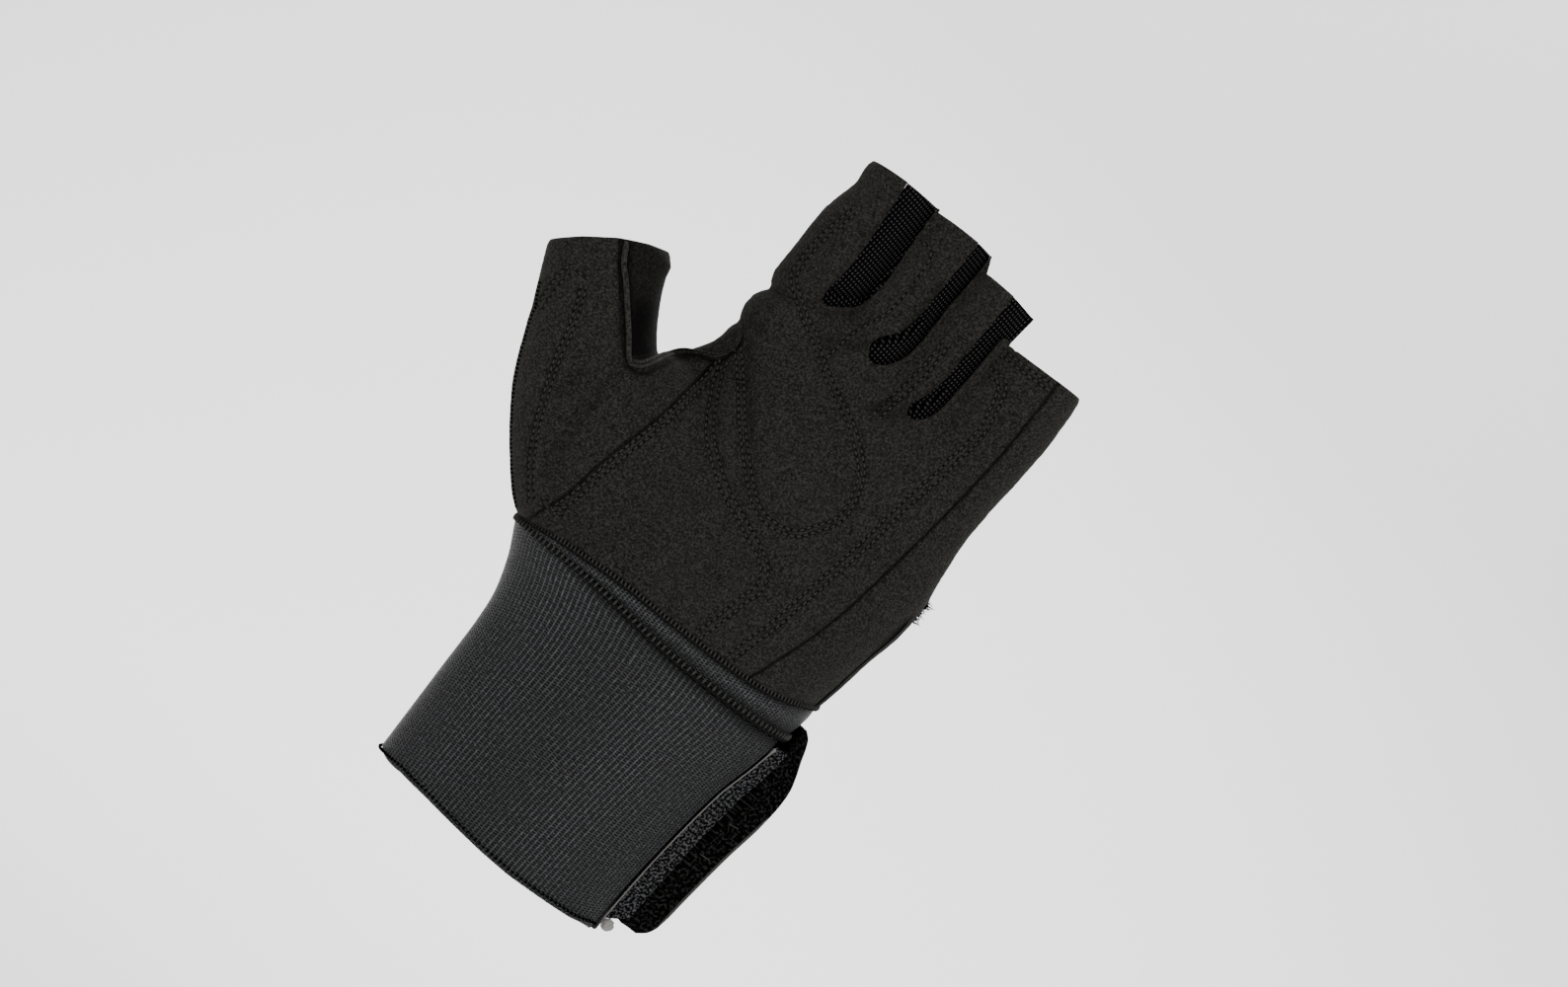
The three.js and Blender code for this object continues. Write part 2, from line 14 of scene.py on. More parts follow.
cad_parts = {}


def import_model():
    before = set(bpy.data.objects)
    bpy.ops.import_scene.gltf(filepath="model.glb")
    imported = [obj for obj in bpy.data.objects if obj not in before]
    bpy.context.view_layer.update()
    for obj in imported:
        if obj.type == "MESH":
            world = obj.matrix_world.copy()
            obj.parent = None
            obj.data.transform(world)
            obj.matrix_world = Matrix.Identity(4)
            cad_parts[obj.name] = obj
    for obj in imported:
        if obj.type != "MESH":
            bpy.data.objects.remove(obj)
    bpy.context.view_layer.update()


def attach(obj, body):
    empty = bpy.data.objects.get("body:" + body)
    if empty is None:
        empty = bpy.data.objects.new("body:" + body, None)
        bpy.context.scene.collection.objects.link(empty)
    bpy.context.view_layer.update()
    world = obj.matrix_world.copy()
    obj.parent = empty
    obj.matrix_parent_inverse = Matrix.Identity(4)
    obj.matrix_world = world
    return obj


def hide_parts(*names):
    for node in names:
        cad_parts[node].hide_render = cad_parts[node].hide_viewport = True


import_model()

bl_info = {
    "name": "Weightlifting Glove",
    "version": (1, 0, 0),
    "blender": (4, 5, 0),
    "location": "View3D > Sidebar > Glove",
    "description": "Builds a left-hand weightlifting glove with a wrist wrap, piece by piece",
    "category": "Object",
}

# Lengths in this file are millimetres until a mesh is made
MM = 0.001

# The driving sizes of the frame
CUFF_HEIGHT = 76.0
SEAM_STRIP = 7.5
PALM_HEIGHT = 84.0
WRIST_WIDTH = 75.0
WRIST_DEPTH = 47.0
PALM_WIDTH = 84.5
PALM_DEPTH = 38.0
PALM_OFFSET = 9.0
STALL_LENGTHS = {"index": 44.0, "middle": 43.3, "ring": 37.5, "little": 28.0}
STALL_DEPTH = 22.0
STALL_CURL = 11.0
THUMB_LENGTH = 80.0
THUMB_WIDTH = 31.6
THUMB_DEPTH = 25.0
THUMB_LEAN = math.radians(31.4)
WALL = 1.6
BAND_WALL = 2.2
PAD_RISE = 0.9
GAP = 0.3
BODY = "root"

# The camera's place; lines seen from the front are drawn on the plane y = 0 as it sees them
EYE = np.array([5.2, -975.0, 119.6])

HALF = PALM_WIDTH / 2
KNUCKLES = CUFF_HEIGHT + PALM_HEIGHT
FAR = 150.0


def across(u):
    """The x of a place on the palm, from -1 at the thumb's side to 1."""
    return PALM_OFFSET + u * HALF


def up(v):
    """The z of a place on the palm, from 0 at the suede's edge to 1 at the knuckles."""
    return CUFF_HEIGHT + v * PALM_HEIGHT


def run(points):
    """How far along a line each of its points lies."""
    return np.concatenate([[0], np.cumsum(np.linalg.norm(np.diff(points, axis=0), axis=1))])


def unit(ways):
    """Ways, each made one long."""
    return ways / np.maximum(np.linalg.norm(ways, axis=-1, keepdims=True), 1e-9)


def bell(near, half):
    """1 on a line, about a third of that at the half width, and 0 far away."""
    return np.exp(-((near / half) ** 2))


def soft_step(value):
    """From 0 to 1 as the value goes from 0 to 1."""
    value = np.clip(value, 0, 1)
    return value * value * (3 - 2 * value)


def between(table, at):
    """Smooth values between the rows of a table, each row led by its place."""
    i = 0
    while i < len(table) - 2 and table[i + 1][0] <= at:
        i += 1

    def slope(j):
        a, b = table[max(j - 1, 0)], table[min(j + 1, len(table) - 1)]
        return (np.array(b) - a) / (b[0] - a[0])

    a, b = np.array(table[i], float), np.array(table[i + 1], float)
    span = b[0] - a[0]
    t = (at - a[0]) / span
    return (
        a * (1 + 2 * t) * (1 - t) ** 2
        + b * t * t * (3 - 2 * t)
        + span * (slope(i) * t * (1 - t) ** 2 - slope(i + 1) * t * t * (1 - t))
    )


# The band's rows: share of the cuff's height, flare to each side, tilt, front, back
BAND_ROWS = [
    (0.0, 0.0, 0.0, -3.5, 1.0, 1.0),
    (0.31, 0.04, 0.1, -3.0, 0.98, 0.98),
    (0.63, 0.12, 0.36, -2.5, 0.99, 0.96),
    (0.79, 0.47, 0.66, -2.0, 1.03, 0.93),
    (0.9, 0.92, 0.82, -2.0, 1.08, 0.88),
]
# The palm's rows: share of its height, left, right, tilt, front, back, middle
PALM_ROWS = [
    (0.0, -1.32, 0.9, 4.5, 1.4, 1.03, 0.02),
    (0.17, -1.27, 0.935, 3.0, 1.36, 1.03, 0.06),
    (0.38, -1.14, 1.0, 0.0, 1.16, 1.0, 0.12),
    (0.62, -1.02, 0.995, -4.0, 0.98, 0.93, 0.15),
    (0.83, -0.995, 0.98, -8.0, 0.85, 0.8, 0.22),
    (0.97, -0.99, 0.99, -10.0, 0.64, 0.62, 0.28),
    (1.03, -0.97, 0.965, -10.0, 0.44, 0.42, 0.3),
    (1.06, -0.93, 0.92, -10.0, 0.2, 0.2, 0.3),
]
# Each stall's middle at its root and tip, its width at each, and its hem's tilt
STALLS = {
    "index": (-0.7, -0.67, 0.268, 0.28, 0.0),
    "middle": (-0.2, -0.2, 0.225, 0.232, 0.0),
    "ring": (0.2, 0.235, 0.215, 0.222, -3.0),
    "little": (0.675, 0.685, 0.28, 0.292, 4.5),
}
STALL_FOOT = 0.22
# The thumb's rows: share of its length from the hem, shift, half width, half depth, y
THUMB_ROWS = [
    (0.0, 0.0, 0.5, 0.49, 0.84),
    (0.25, -0.058, 0.517, 0.53, 0.7),
    (0.46, -0.044, 0.6, 0.6, 0.56),
    (0.675, 0.02, 0.63, 0.62, 0.44),
    (0.86, 0.01, 0.54, 0.56, 0.36),
    (1.0, 0.0, 0.38, 0.42, 0.3),
]
TIP_SHIFT = 2.0
THUMB_FOOT = (across(-0.92), CUFF_HEIGHT - 0.02 * PALM_HEIGHT)
# The web's rows: place on the palm, tilt and half width, from the thumb to the index finger
WEB_ROWS = [
    (-1.49, 0.44, -54.0, 0.14),
    (-1.28, 0.48, -52.0, 0.14),
    (-1.11, 0.56, -37.0, 0.14),
    (-0.99, 0.64, -28.0, 0.14),
    (-0.93, 0.74, -16.0, 0.09),
    (-0.9, 0.84, -8.0, 0.06),
]
WEB_DEPTH = 0.34


def trunk_table():
    """The rows of wrist and palm in millimetres."""
    flare_left = -across(PALM_ROWS[0][1]) - WRIST_WIDTH / 2
    flare_right = across(PALM_ROWS[0][2]) - WRIST_WIDTH / 2
    rows = [
        (
            place, -WRIST_WIDTH / 2 - left * flare_left, WRIST_WIDTH / 2 + right * flare_right,
            tilt, front * WRIST_DEPTH / 2, back * WRIST_DEPTH / 2, 0.0,
        )
        for place, left, right, tilt, front, back in BAND_ROWS
    ]
    half_depth = PALM_DEPTH / 2
    rows += [
        (
            1 + place, across(left), across(right),
            tilt, front * half_depth, back * half_depth, -middle * half_depth,
        )
        for place, left, right, tilt, front, back, middle in PALM_ROWS
    ]
    return rows


TRUNK = trunk_table()


def section(x, y, z, tilt, half, front, back, power):
    """One oval section of a limb."""
    return {
        "at": np.array([x, y, z]), "tilt": tilt, "half": half,
        "front": front, "back": back, "power": power,
    }


def trunk_section(place):
    """The section of wrist and palm: 0 at the opening, 1 at the suede's edge, 2 at the knuckles."""
    _, left, right, tilt, front, back, y = between(TRUNK, place)
    z = place * CUFF_HEIGHT if place < 1 else up(place - 1)
    return section(
        (left + right) / 2, y, z, math.radians(tilt), (right - left) / 2, front, back, 2.2
    )


def stall_section(name, share):
    """The section of a finger stall, from its root at 0 to its hem at 1."""
    root, tip, width_root, width_tip, tilt = STALLS[name]
    foot = up(1 - STALL_FOOT)
    z = foot + (KNUCKLES + STALL_LENGTHS[name] - foot) * share
    bent = max(0.0, (z - foot) / (KNUCKLES + max(STALL_LENGTHS.values()) - foot))
    depth = STALL_DEPTH / 2 * (1.04 - 0.06 * share)
    fullness = 0.02 * math.sin(math.pi * min(share, 1))
    return section(
        across(root + (tip - root) * share),
        -0.2 * PALM_DEPTH / 2 - STALL_CURL * bent**1.3,
        z,
        math.radians(tilt * share),
        PALM_WIDTH * (width_root + (width_tip - width_root) * share + fullness) / 2,
        depth, depth, 2.3,
    )


def thumb_section(share):
    """The section of the thumb, from its hem at 0 to the heel of the palm at 1."""
    _, shift, half, depth, y = between(THUMB_ROWS, share)
    along = THUMB_LENGTH * (1 - share)
    side = shift * THUMB_WIDTH * math.cos(THUMB_LEAN) + TIP_SHIFT * (1 - share)
    return section(
        THUMB_FOOT[0] - along * math.sin(THUMB_LEAN) + side,
        -y * THUMB_DEPTH,
        THUMB_FOOT[1] + along * math.cos(THUMB_LEAN) + shift * THUMB_WIDTH * math.sin(THUMB_LEAN),
        THUMB_LEAN, half * THUMB_WIDTH, depth * THUMB_DEPTH, depth * THUMB_DEPTH, 2.1,
    )


def web_section(row):
    """The section of the web between thumb and palm."""
    u, v, tilt, half = row
    depth = WEB_DEPTH * PALM_DEPTH / 2
    y = -0.42 * PALM_DEPTH / 2 + (u + 1.49) * 0.25 * PALM_DEPTH / 2
    return section(across(u), y, up(v), math.radians(tilt), half * HALF, depth, depth, 2.0)


def ring(oval, angles, inset=0.0):
    """Points round a section at some angles, from its +X side towards its back."""
    cos, sin = np.cos(angles), np.sin(angles)
    power = 2 / oval["power"]
    depth = np.where(sin < 0, oval["front"], oval["back"]) - inset
    side = (oval["half"] - inset) * np.sign(cos) * np.abs(cos) ** power
    lift = depth * np.sign(sin) * np.abs(sin) ** power
    x, y, z = oval["at"]
    tilt = oval["tilt"]
    return np.stack([x + side * math.cos(tilt), y + lift, z + side * math.sin(tilt)], axis=-1)


def new_object(name, data):
    """A new object in the scene."""
    made = bpy.data.objects.new(name, data)
    bpy.context.scene.collection.objects.link(made)
    return made


def as_object(name, points, faces):
    """A new object from points in millimetres."""
    mesh = bpy.data.meshes.new(name)
    mesh.from_pydata((np.asarray(points, float) * MM).tolist(), [], [tuple(f) for f in faces])
    mesh.update()
    return new_object(name, mesh)


def add_modifier(piece, name, kind, **settings):
    """Puts a modifier with its settings on a piece."""
    modifier = piece.modifiers.new(name, kind)
    for key, value in settings.items():
        setattr(modifier, key, value)
    return modifier


@contextmanager
def editing(piece):
    """Opens a piece's mesh for changes, and writes them back afterwards."""
    bm = bmesh.new()
    bm.from_mesh(piece.data)
    yield bm
    bm.to_mesh(piece.data)
    bm.free()


def baked(piece):
    """The same piece with its modifiers worked into its mesh."""
    evaluated = piece.evaluated_get(bpy.context.evaluated_depsgraph_get())
    mesh = bpy.data.meshes.new_from_object(evaluated)
    old = piece.data
    piece.modifiers.clear()
    piece.data = mesh
    bpy.data.meshes.remove(old)
    mesh.name = piece.name
    return piece


def discard(*pieces):
    """Deletes helpers and their meshes."""
    for piece in pieces:
        mesh = piece.data
        bpy.data.objects.remove(piece)
        bpy.data.meshes.remove(mesh)


def copied(piece, name):
    """A copy with a mesh of its own."""
    twin = piece.copy()
    twin.data = piece.data.copy()
    twin.name = name
    bpy.context.scene.collection.objects.link(twin)
    return twin


def cut(piece, operation, *cutters):
    """Joins, cuts or meets a piece with cutters, which go."""
    for cutter in cutters:
        add_modifier(piece, "cut", "BOOLEAN", operation=operation, solver="MANIFOLD", object=cutter)
        baked(piece)
        discard(cutter)
    return piece


def points_of(piece):
    """The points of a piece in millimetres."""
    flat = np.zeros(len(piece.data.vertices) * 3)
    piece.data.vertices.foreach_get("co", flat)
    return flat.reshape(-1, 3) / MM


def move_points(piece, points):
    """Puts a piece's points at new places in millimetres."""
    piece.data.vertices.foreach_set("co", (points * MM).ravel())
    piece.data.update()


def loft(sections, sides, inset):
    """The points and faces of a closed body through sections, with flat ends."""
    angles = np.arange(sides) * 2 * math.pi / sides
    points = np.concatenate([ring(oval, angles, inset) for oval in sections])
    faces = []
    for row in range(len(sections) - 1):
        for k in range(sides):
            a, b = row * sides + k, row * sides + (k + 1) % sides
            faces.append((a, b, b + sides, a + sides))
    faces.append(tuple(range(sides))[::-1])
    faces.append(tuple(range(len(points) - sides, len(points))))
    return points, faces


# Fullness between thumb and palm: middle, half width, depth and half height
FILLS = [
    ((-36, -11, 107), 17, 13.5, 23),
    ((-46, -12, 112), 12, 12, 14),
]
# Dents and bulges of the outline seen from the front: the height, and how far it moves sideways
LEFT_EDGE = [
    (145, 0), (148, 0.7), (150.5, -0.2), (153, -0.9), (156, -0.6), (158.2, 0.6), (160, 1.5), (161.8, 0.8),
    (164.5, -0.1), (186, 0), (190, 0.7), (193.5, 1.6), (196, 2.0), (200, 1.3), (206, 1.3),
]
RIGHT_EDGE = [
    (80, 0), (88, 0.5), (100, 0.3), (112, 1.0), (120, 1.3), (126, 0.6), (134, 0.3), (148, 0.3),
    (158, 0.9), (170, 1.1), (182, 0.9), (190, 0.3),
]
# Where the form is smoothed further: middle, reach and how many times
BLENDS = [((-34, -22, 104), 27, 160), ((-38, -18, 84), 20, 90)]
# The form is remeshed this finely and then smoothed, so that limbs run into each other softly
VOXEL = 1.0
SOFTENING = 14


def hand_form(inset):
    """The whole glove's outer skin, or with an inset its hollow, as one closed soft body."""
    places = np.concatenate([np.linspace(0.6, 2.03, 30), [2.045, 2.06]])
    trunk = [trunk_section(place) for place in places]
    if inset > 0:
        trunk[-1]["at"][2] -= inset
        trunk[-2]["at"][2] -= inset / 2
    limbs = [loft(trunk, 64, inset)]
    for name in STALLS:
        limbs.append(loft([stall_section(name, s) for s in np.linspace(0, 1.25, 12)], 40, inset))
    thumb = [thumb_section(s) for s in np.linspace(1, 0, 14)]
    beyond = dict(thumb[-1], at=thumb[-1]["at"] + 12 * thumb_axis())
    limbs.append(loft(thumb + [beyond], 44, inset))
    limbs.append(loft([web_section(row) for row in WEB_ROWS], 28, inset))
    for at, half, depth, height in FILLS:
        slices = []
        for a in np.radians(np.linspace(-80, 80, 13)):
            level, slim = at[2] + height * math.sin(a), math.cos(a)
            slices.append(section(*at[:2], level, 0, half * slim, depth * slim, depth * slim, 2.0))
        limbs.append(loft(slices, 32, inset * 0.9))
    points, faces = [], []
    for limb_points, limb_faces in limbs:
        start = sum(len(p) for p in points)
        points.append(limb_points)
        faces += [tuple(i + start for i in face) for face in limb_faces]
    form = as_object("form", np.concatenate(points), faces)
    add_modifier(form, "one_skin", "REMESH", mode="VOXEL", voxel_size=VOXEL * MM)
    add_modifier(form, "soften", "SMOOTH", factor=0.5, iterations=SOFTENING)
    form = baked(form)
    for at, reach, iterations in BLENDS:
        points = points_of(form)
        away = np.linalg.norm(points - at, axis=1)
        weights = 1 - soft_step((away - reach * 0.5) / (reach * 0.5))
        group = form.vertex_groups.new(name="blend")
        for index in np.nonzero(weights > 0)[0]:
            group.add([int(index)], float(weights[index]), "REPLACE")
        add_modifier(form, "blend", "SMOOTH", factor=0.5, iterations=iterations, vertex_group=group.name)
        form = baked(form)
    points = points_of(form)
    places = seen(points)
    left, right = soft_step((-places[:, 0] - 20) / 10), soft_step((places[:, 0] - 34) / 12)
    for edge, weight in ((LEFT_EDGE, left), (RIGHT_EDGE, right)):
        heights, moves = np.array(edge, float).T
        points[:, 0] += np.interp(places[:, 1], heights, moves) * weight
    move_points(form, points)
    return form


def thumb_axis():
    """The way the thumb points, seen from the front."""
    return np.array([-math.sin(THUMB_LEAN), 0.0, math.cos(THUMB_LEAN)])


def tree_of(piece):
    """A search tree over a piece's faces, in metres."""
    mesh = piece.data
    return BVHTree.FromPolygons(
        [v.co.copy() for v in mesh.vertices], [tuple(p.vertices) for p in mesh.polygons]
    )


@cache
def skin():
    """The search tree of the outer skin."""
    form = hand_form(0.0)
    tree = tree_of(form)
    discard(form)
    return tree


def prism(outline, side_view=False):
    """A block with an outline seen from the front (x, z), or from the side (y, z)."""
    count = len(outline)
    if side_view:
        points = [(x, y, z) for x in (-FAR, FAR) for y, z in outline]
    else:
        points = [(x, y, z) for y in (-FAR, FAR) for x, z in outline]
    faces = [tuple(range(count)), tuple(range(2 * count - 1, count - 1, -1))]
    faces += [
        (i, i + count, (i + 1) % count + count, (i + 1) % count) for i in range(count)
    ]
    block = as_object("block", points, faces)
    with editing(block) as bm:
        bmesh.ops.triangulate(bm, faces=bm.faces)
        bmesh.ops.recalc_face_normals(bm, faces=bm.faces)
    return block


def smooth_line(points, step=1.0):
    """A smooth line through a few points, with a point about every step."""
    points = np.asarray(points, float)
    before = 2 * points[0] - points[1]
    after = 2 * points[-1] - points[-2]
    padded = np.vstack([before, points, after])
    line = []
    for a, b, c, d in zip(padded, padded[1:], padded[2:], padded[3:]):
        count = max(2, int(np.linalg.norm(c - b) / step) + 1)
        t = np.linspace(0, 1, count, endpoint=False)[:, None]
        line.append(
            0.5 * (2 * b + (c - a) * t + (2 * a - 5 * b + 4 * c - d) * t**2
                   + (3 * b - a - 3 * c + d) * t**3)
        )
    return np.vstack([*line, points[-1:]])


def ring_line(points, step=1.0):
    """A smooth closed line through a few points."""
    points = np.asarray(points, float)
    line = smooth_line(np.vstack([points[-2:], points, points[:2]]), step)
    start = np.argmin(np.linalg.norm(line - points[0], axis=1))
    end = len(line) - 1 - np.argmin(np.linalg.norm(line[::-1] - points[0], axis=1))
    return line[start:end] if end > start else line


def grown(outline, amount):
    """A closed outline moved outwards by an amount, corner by corner."""
    outline = np.asarray(outline, float)
    x, z = outline[:, 0], outline[:, 1]
    turn = 1 if np.sum(x * np.roll(z, -1) - z * np.roll(x, -1)) > 0 else -1
    along = unit(np.roll(outline, -1, axis=0) - np.roll(outline, 1, axis=0))
    return outline + turn * amount * np.stack([along[:, 1], -along[:, 0]], axis=1)


def on_palm(rows):
    """Places on the palm in millimetres, seen from the front."""
    return np.array([(across(u), up(v)) for u, v in rows])


def on_thumb(rows):
    """Places on the thumb in millimetres: share of its length from the hem, share across it."""
    lean = THUMB_LEAN
    return np.array([
        (
            THUMB_FOOT[0] - THUMB_LENGTH * (1 - s) * math.sin(lean) + w * THUMB_WIDTH * math.cos(lean),
            THUMB_FOOT[1] + THUMB_LENGTH * (1 - s) * math.cos(lean) + w * THUMB_WIDTH * math.sin(lean),
        )
        for s, w in rows
    ])


# Seams, in places on the palm
ULNAR_SEAM = [(0.33, -0.15), (0.43, 0), (0.62, 0.29), (0.735, 0.64), (0.81, 1), (0.82, 1.45)]
THUMB_SEAM = [
    (-1.3, -0.15), (-1.185, 0.03), (-1.13, 0.11), (-1.07, 0.27), (-0.995, 0.43), (-0.965, 0.51),
    (-0.945, 0.61), (-0.935, 0.71),
]
# The raised seam, in places on the thumb
RIDGE = [(-0.1, 0.12), (0, 0.13), (0.16, 0.175), (0.28, 0.215), (0.376, 0.27)]
# The quilted pads, in places on the palm
DROP_PAD = [
    (-0.86, 0.83), (-0.568, 0.613), (-0.26, 0.452), (0, 0.423), (0.22, 0.49), (0.29, 0.6),
    (0.24, 0.73), (0.024, 0.815), (-0.308, 0.887), (-0.568, 0.97), (-0.83, 1.03), (-0.9, 0.93),
]
HEEL_PAD = [
    (-0.9, 0.67), (-0.805, 0.595), (-0.568, 0.476), (-0.213, 0.381), (0.071, 0.304), (0.166, 0.202),
    (0.083, 0.095), (0.03, 0.05), (-0.5, 0.03), (-1.1, 0.04), (-1.06, 0.17), (-0.95, 0.42),
]


def side_block(sections, shift, way):
    """A block before (-1) or behind (1) the middle of a limb."""
    line = [(oval["at"][1] + shift, oval["at"][2]) for oval in sections]
    (y0, z0), (y1, z1) = line[0], line[-1]
    low, high = z0 - FAR, z1 + FAR / 4
    return prism([(y0, low), *line, (y1 - 3, high), (way * FAR, high), (way * FAR, low)], side_view=True)


def before(sections, shift):
    """A block in front of the middle of a limb."""
    return side_block(sections, shift, -1)


def hand_sections():
    return [trunk_section(p) for p in (1, 1.17, 1.38, 1.62)] + [
        stall_section("middle", s) for s in np.linspace(0, 1, 5)
    ]


def thumb_sections():
    return [thumb_section(s) for s in np.linspace(1, 0, 7)]


def true_line(line, depth):
    """A line seen from the front at its true places on a skin as far before y = 0 as depth says."""
    line = np.asarray(line, float)
    scale = 1 + np.asarray([depth(x) for x in line[:, 0]])[:, None] / EYE[1]
    return EYE[[0, 2]] + (line - EYE[[0, 2]]) * scale


def wrist_depth(x):
    """How far the front of the wrist stands before y = 0."""
    return 23 * math.sqrt(max(0.0, 1 - (x / 50) ** 2))


# The edge of the suede above the band, seen from the front: x and z
SUEDE_SEEN = [
    (-60, 70.5), (-46, 72.3), (-35, 73.8), (-20, 75), (-10, 75.3), (0, 75), (20, 75),
    (30, 75.6), (35, 76.4), (40, 77.6), (47, 80.2), (60, 84),
]
# The hems of the stalls and of the thumb, seen from the front
HEMS_SEEN = [
    (-60, 203.8), (-31, 203.8), (-19, 204.2), (-8.4, 204), (-8.4, 203.2), (5, 203.2), (10, 202.8),
    (11.6, 198.4), (21, 197.8), (25, 197.2), (29, 196.6),
    (28, 187.2), (36, 187.2), (44, 187.4), (60, 188.4),
]
THUMB_HEM_SEEN = [
    (-95, 128), (-85, 134.4), (-78, 140.2), (-70, 145.8), (-63, 149.4), (-57, 151.6), (-45, 155),
]
SUEDE_EDGE = true_line(SUEDE_SEEN, wrist_depth)
HEMS = true_line(HEMS_SEEN, lambda x: 24)
THUMB_HEM = true_line(THUMB_HEM_SEEN, lambda x: 27)


@cache
def walls():
    """The cloth of the glove above the band, in one piece."""
    shell = hand_form(0.0)
    hollow = hand_form(WALL)
    edge = [tuple(point) for point in smooth_line(SUEDE_EDGE, 2.0)]
    edge += [(edge[-1][0] + FAR, edge[-1][1] + 8), (FAR, -FAR), (-FAR, -FAR), (-FAR, 60)]
    return cut(
        shell, "DIFFERENCE", hollow, prism(edge),
        prism([*HEMS, (60, 300), (-60, 300)]), prism([*THUMB_HEM, (-47, 220), (-95, 220)]),
    )


# The slots between the stalls, seen from the front: down the left edge and up the right one
SLOTS_SEEN = {
    "index_middle": [
        (-19.4, 216), (-19.3, 203), (-18.6, 194), (-18, 184), (-18, 175), (-18.9, 168.5),
        (-17.6, 165.6), (-13.5, 167.7), (-9.8, 171.2), (-8.1, 176), (-7.8, 182), (-8.6, 192),
        (-9.2, 203), (-9.2, 216),
    ],
    "middle_ring": [
        (5, 216), (5, 203), (4.7, 190), (4.4, 178), (3, 172), (0.2, 168.3), (-1, 165),
        (1.4, 161.3), (5, 162.6), (8, 167.5), (9, 174), (9, 185), (9.5, 198), (9.6, 216),
    ],
    "ring_little": [
        (21.1, 216), (21, 198), (20.5, 180), (20.2, 170), (19, 163.5), (17.1, 159), (18.2, 156),
        (21.4, 157), (23.8, 161.5), (24.6, 170), (25, 180), (25.2, 186.6), (26.5, 188),
        (32, 189), (33, 216),
    ],
}
# Where the walls that two stalls share stand
WALL_AT = {"index_middle": -8.6, "middle_ring": 9.0, "ring_little": 25.0}
SLOT_EDGES = {name: true_line(line, lambda x: 20) for name, line in SLOTS_SEEN.items()}
SEAM_GAP = 0.05
BACK_SEAM = 0.42 * STALL_DEPTH / 2
SIDE_WRAP = 4.0
GUSSET_WRAP = 7.0


def fourchette_room(name, grow):
    """The slot seen from the front and the wall that two stalls share behind it."""
    edges = smooth_line(SLOT_EDGES[name], 1.2)
    right = WALL_AT[name]
    foot = SLOT_EDGES[name][:, 1].min() + 2
    wall = [(right - 3.8, foot), (right + 2.3, foot), (right + 2.3, 216), (right - 3.8, 216)]
    behind = cut(prism(grown(wall, grow)), "INTERSECT", side_block(hand_sections(), -grow, 1))
    room = cut(prism(grown(edges, grow)), "UNION", behind)
    return cut(room, "INTERSECT", before(hand_sections(), BACK_SEAM + grow))


def side_room(grow):
    """Right of the seam along the little finger, and a little round to the back."""
    seam = smooth_line(on_palm(ULNAR_SEAM), 2.0)
    outline = np.vstack([seam, [(FAR, seam[-1][1]), (FAR, seam[0][1])]])
    return cut(prism(grown(outline, grow)), "INTERSECT", before(hand_sections(), SIDE_WRAP + grow))


def gusset_room(grow):
    """The inner side of the thumb, right of the raised seam."""
    ridge = smooth_line(on_thumb(RIDGE), 2.0)
    corner = on_palm([(-1.27, 0.6), (-1.13, 0.8), (-1.13, 1.3), (-1.9, 1.3)])
    outline = np.vstack([ridge, corner])
    return cut(prism(grown(outline, grow)), "INTERSECT", before(thumb_sections(), GUSSET_WRAP + grow))


def thumb_side(grow):
    """Everything left of the seam between thumb and palm."""
    seam = smooth_line(on_palm(THUMB_SEAM), 2.0)
    corner = on_palm([(-1.13, 0.8), (-1.13, 1.3)])
    outline = np.vstack([seam, corner, [(-FAR, up(1.3)), (-FAR, up(-0.15))]])
    return prism(grown(outline, grow))


def thumb_room(grow):
    """The front of the thumb and of the web."""
    web = prism(on_palm([(-1.38, 0.3), (-0.8, 0.3), (-0.8, 0.9), (-1.2, 0.9)]))
    thumb, web = before(thumb_sections(), grow), cut(web, "INTERSECT", before(hand_sections(), grow))
    return cut(thumb_side(grow), "INTERSECT", cut(thumb, "UNION", web))


def palm_room(grow):
    """The front of the hand, right of the thumb's seam."""
    return cut(before(hand_sections(), grow), "DIFFERENCE", thumb_side(SEAM_GAP - grow))


ROOMS = {
    "fourchette_index_middle": lambda grow: fourchette_room("index_middle", grow),
    "fourchette_middle_ring": lambda grow: fourchette_room("middle_ring", grow),
    "fourchette_ring_little": lambda grow: fourchette_room("ring_little", grow),
    "side_panel": side_room,
    "thumb_gusset": gusset_room,
    "thumb_panel": thumb_room,
    "palm_panel": palm_room,
}


def largest_part(piece):
    """Keeps the largest loose part of a piece."""
    with editing(piece) as bm:
        left = set(bm.verts)
        parts = []
        while left:
            part = {left.pop()}
            edge = list(part)
            while edge:
                near = {e.other_vert(v) for v in edge for e in v.link_edges} & left
                part |= near
                left -= near
                edge = list(near)
            parts.append(part)
        keep = max(parts, key=len)
        bmesh.ops.delete(bm, geom=[v for v in bm.verts if v not in keep], context="VERTS")
    return piece


@cache
def panels():
    """Every panel above the band, cut from the walls one after the other."""
    uncut = walls()
    made = {}
    for name, room in ROOMS.items():
        made[name] = largest_part(cut(copied(uncut, name), "INTERSECT", room(0.0)))
        cut(uncut, "DIFFERENCE", room(SEAM_GAP))
    uncut.name = "back_panel"
    made["back_panel"] = largest_part(uncut)
    for name, piece in made.items():
        piece.data.name = name
    return made


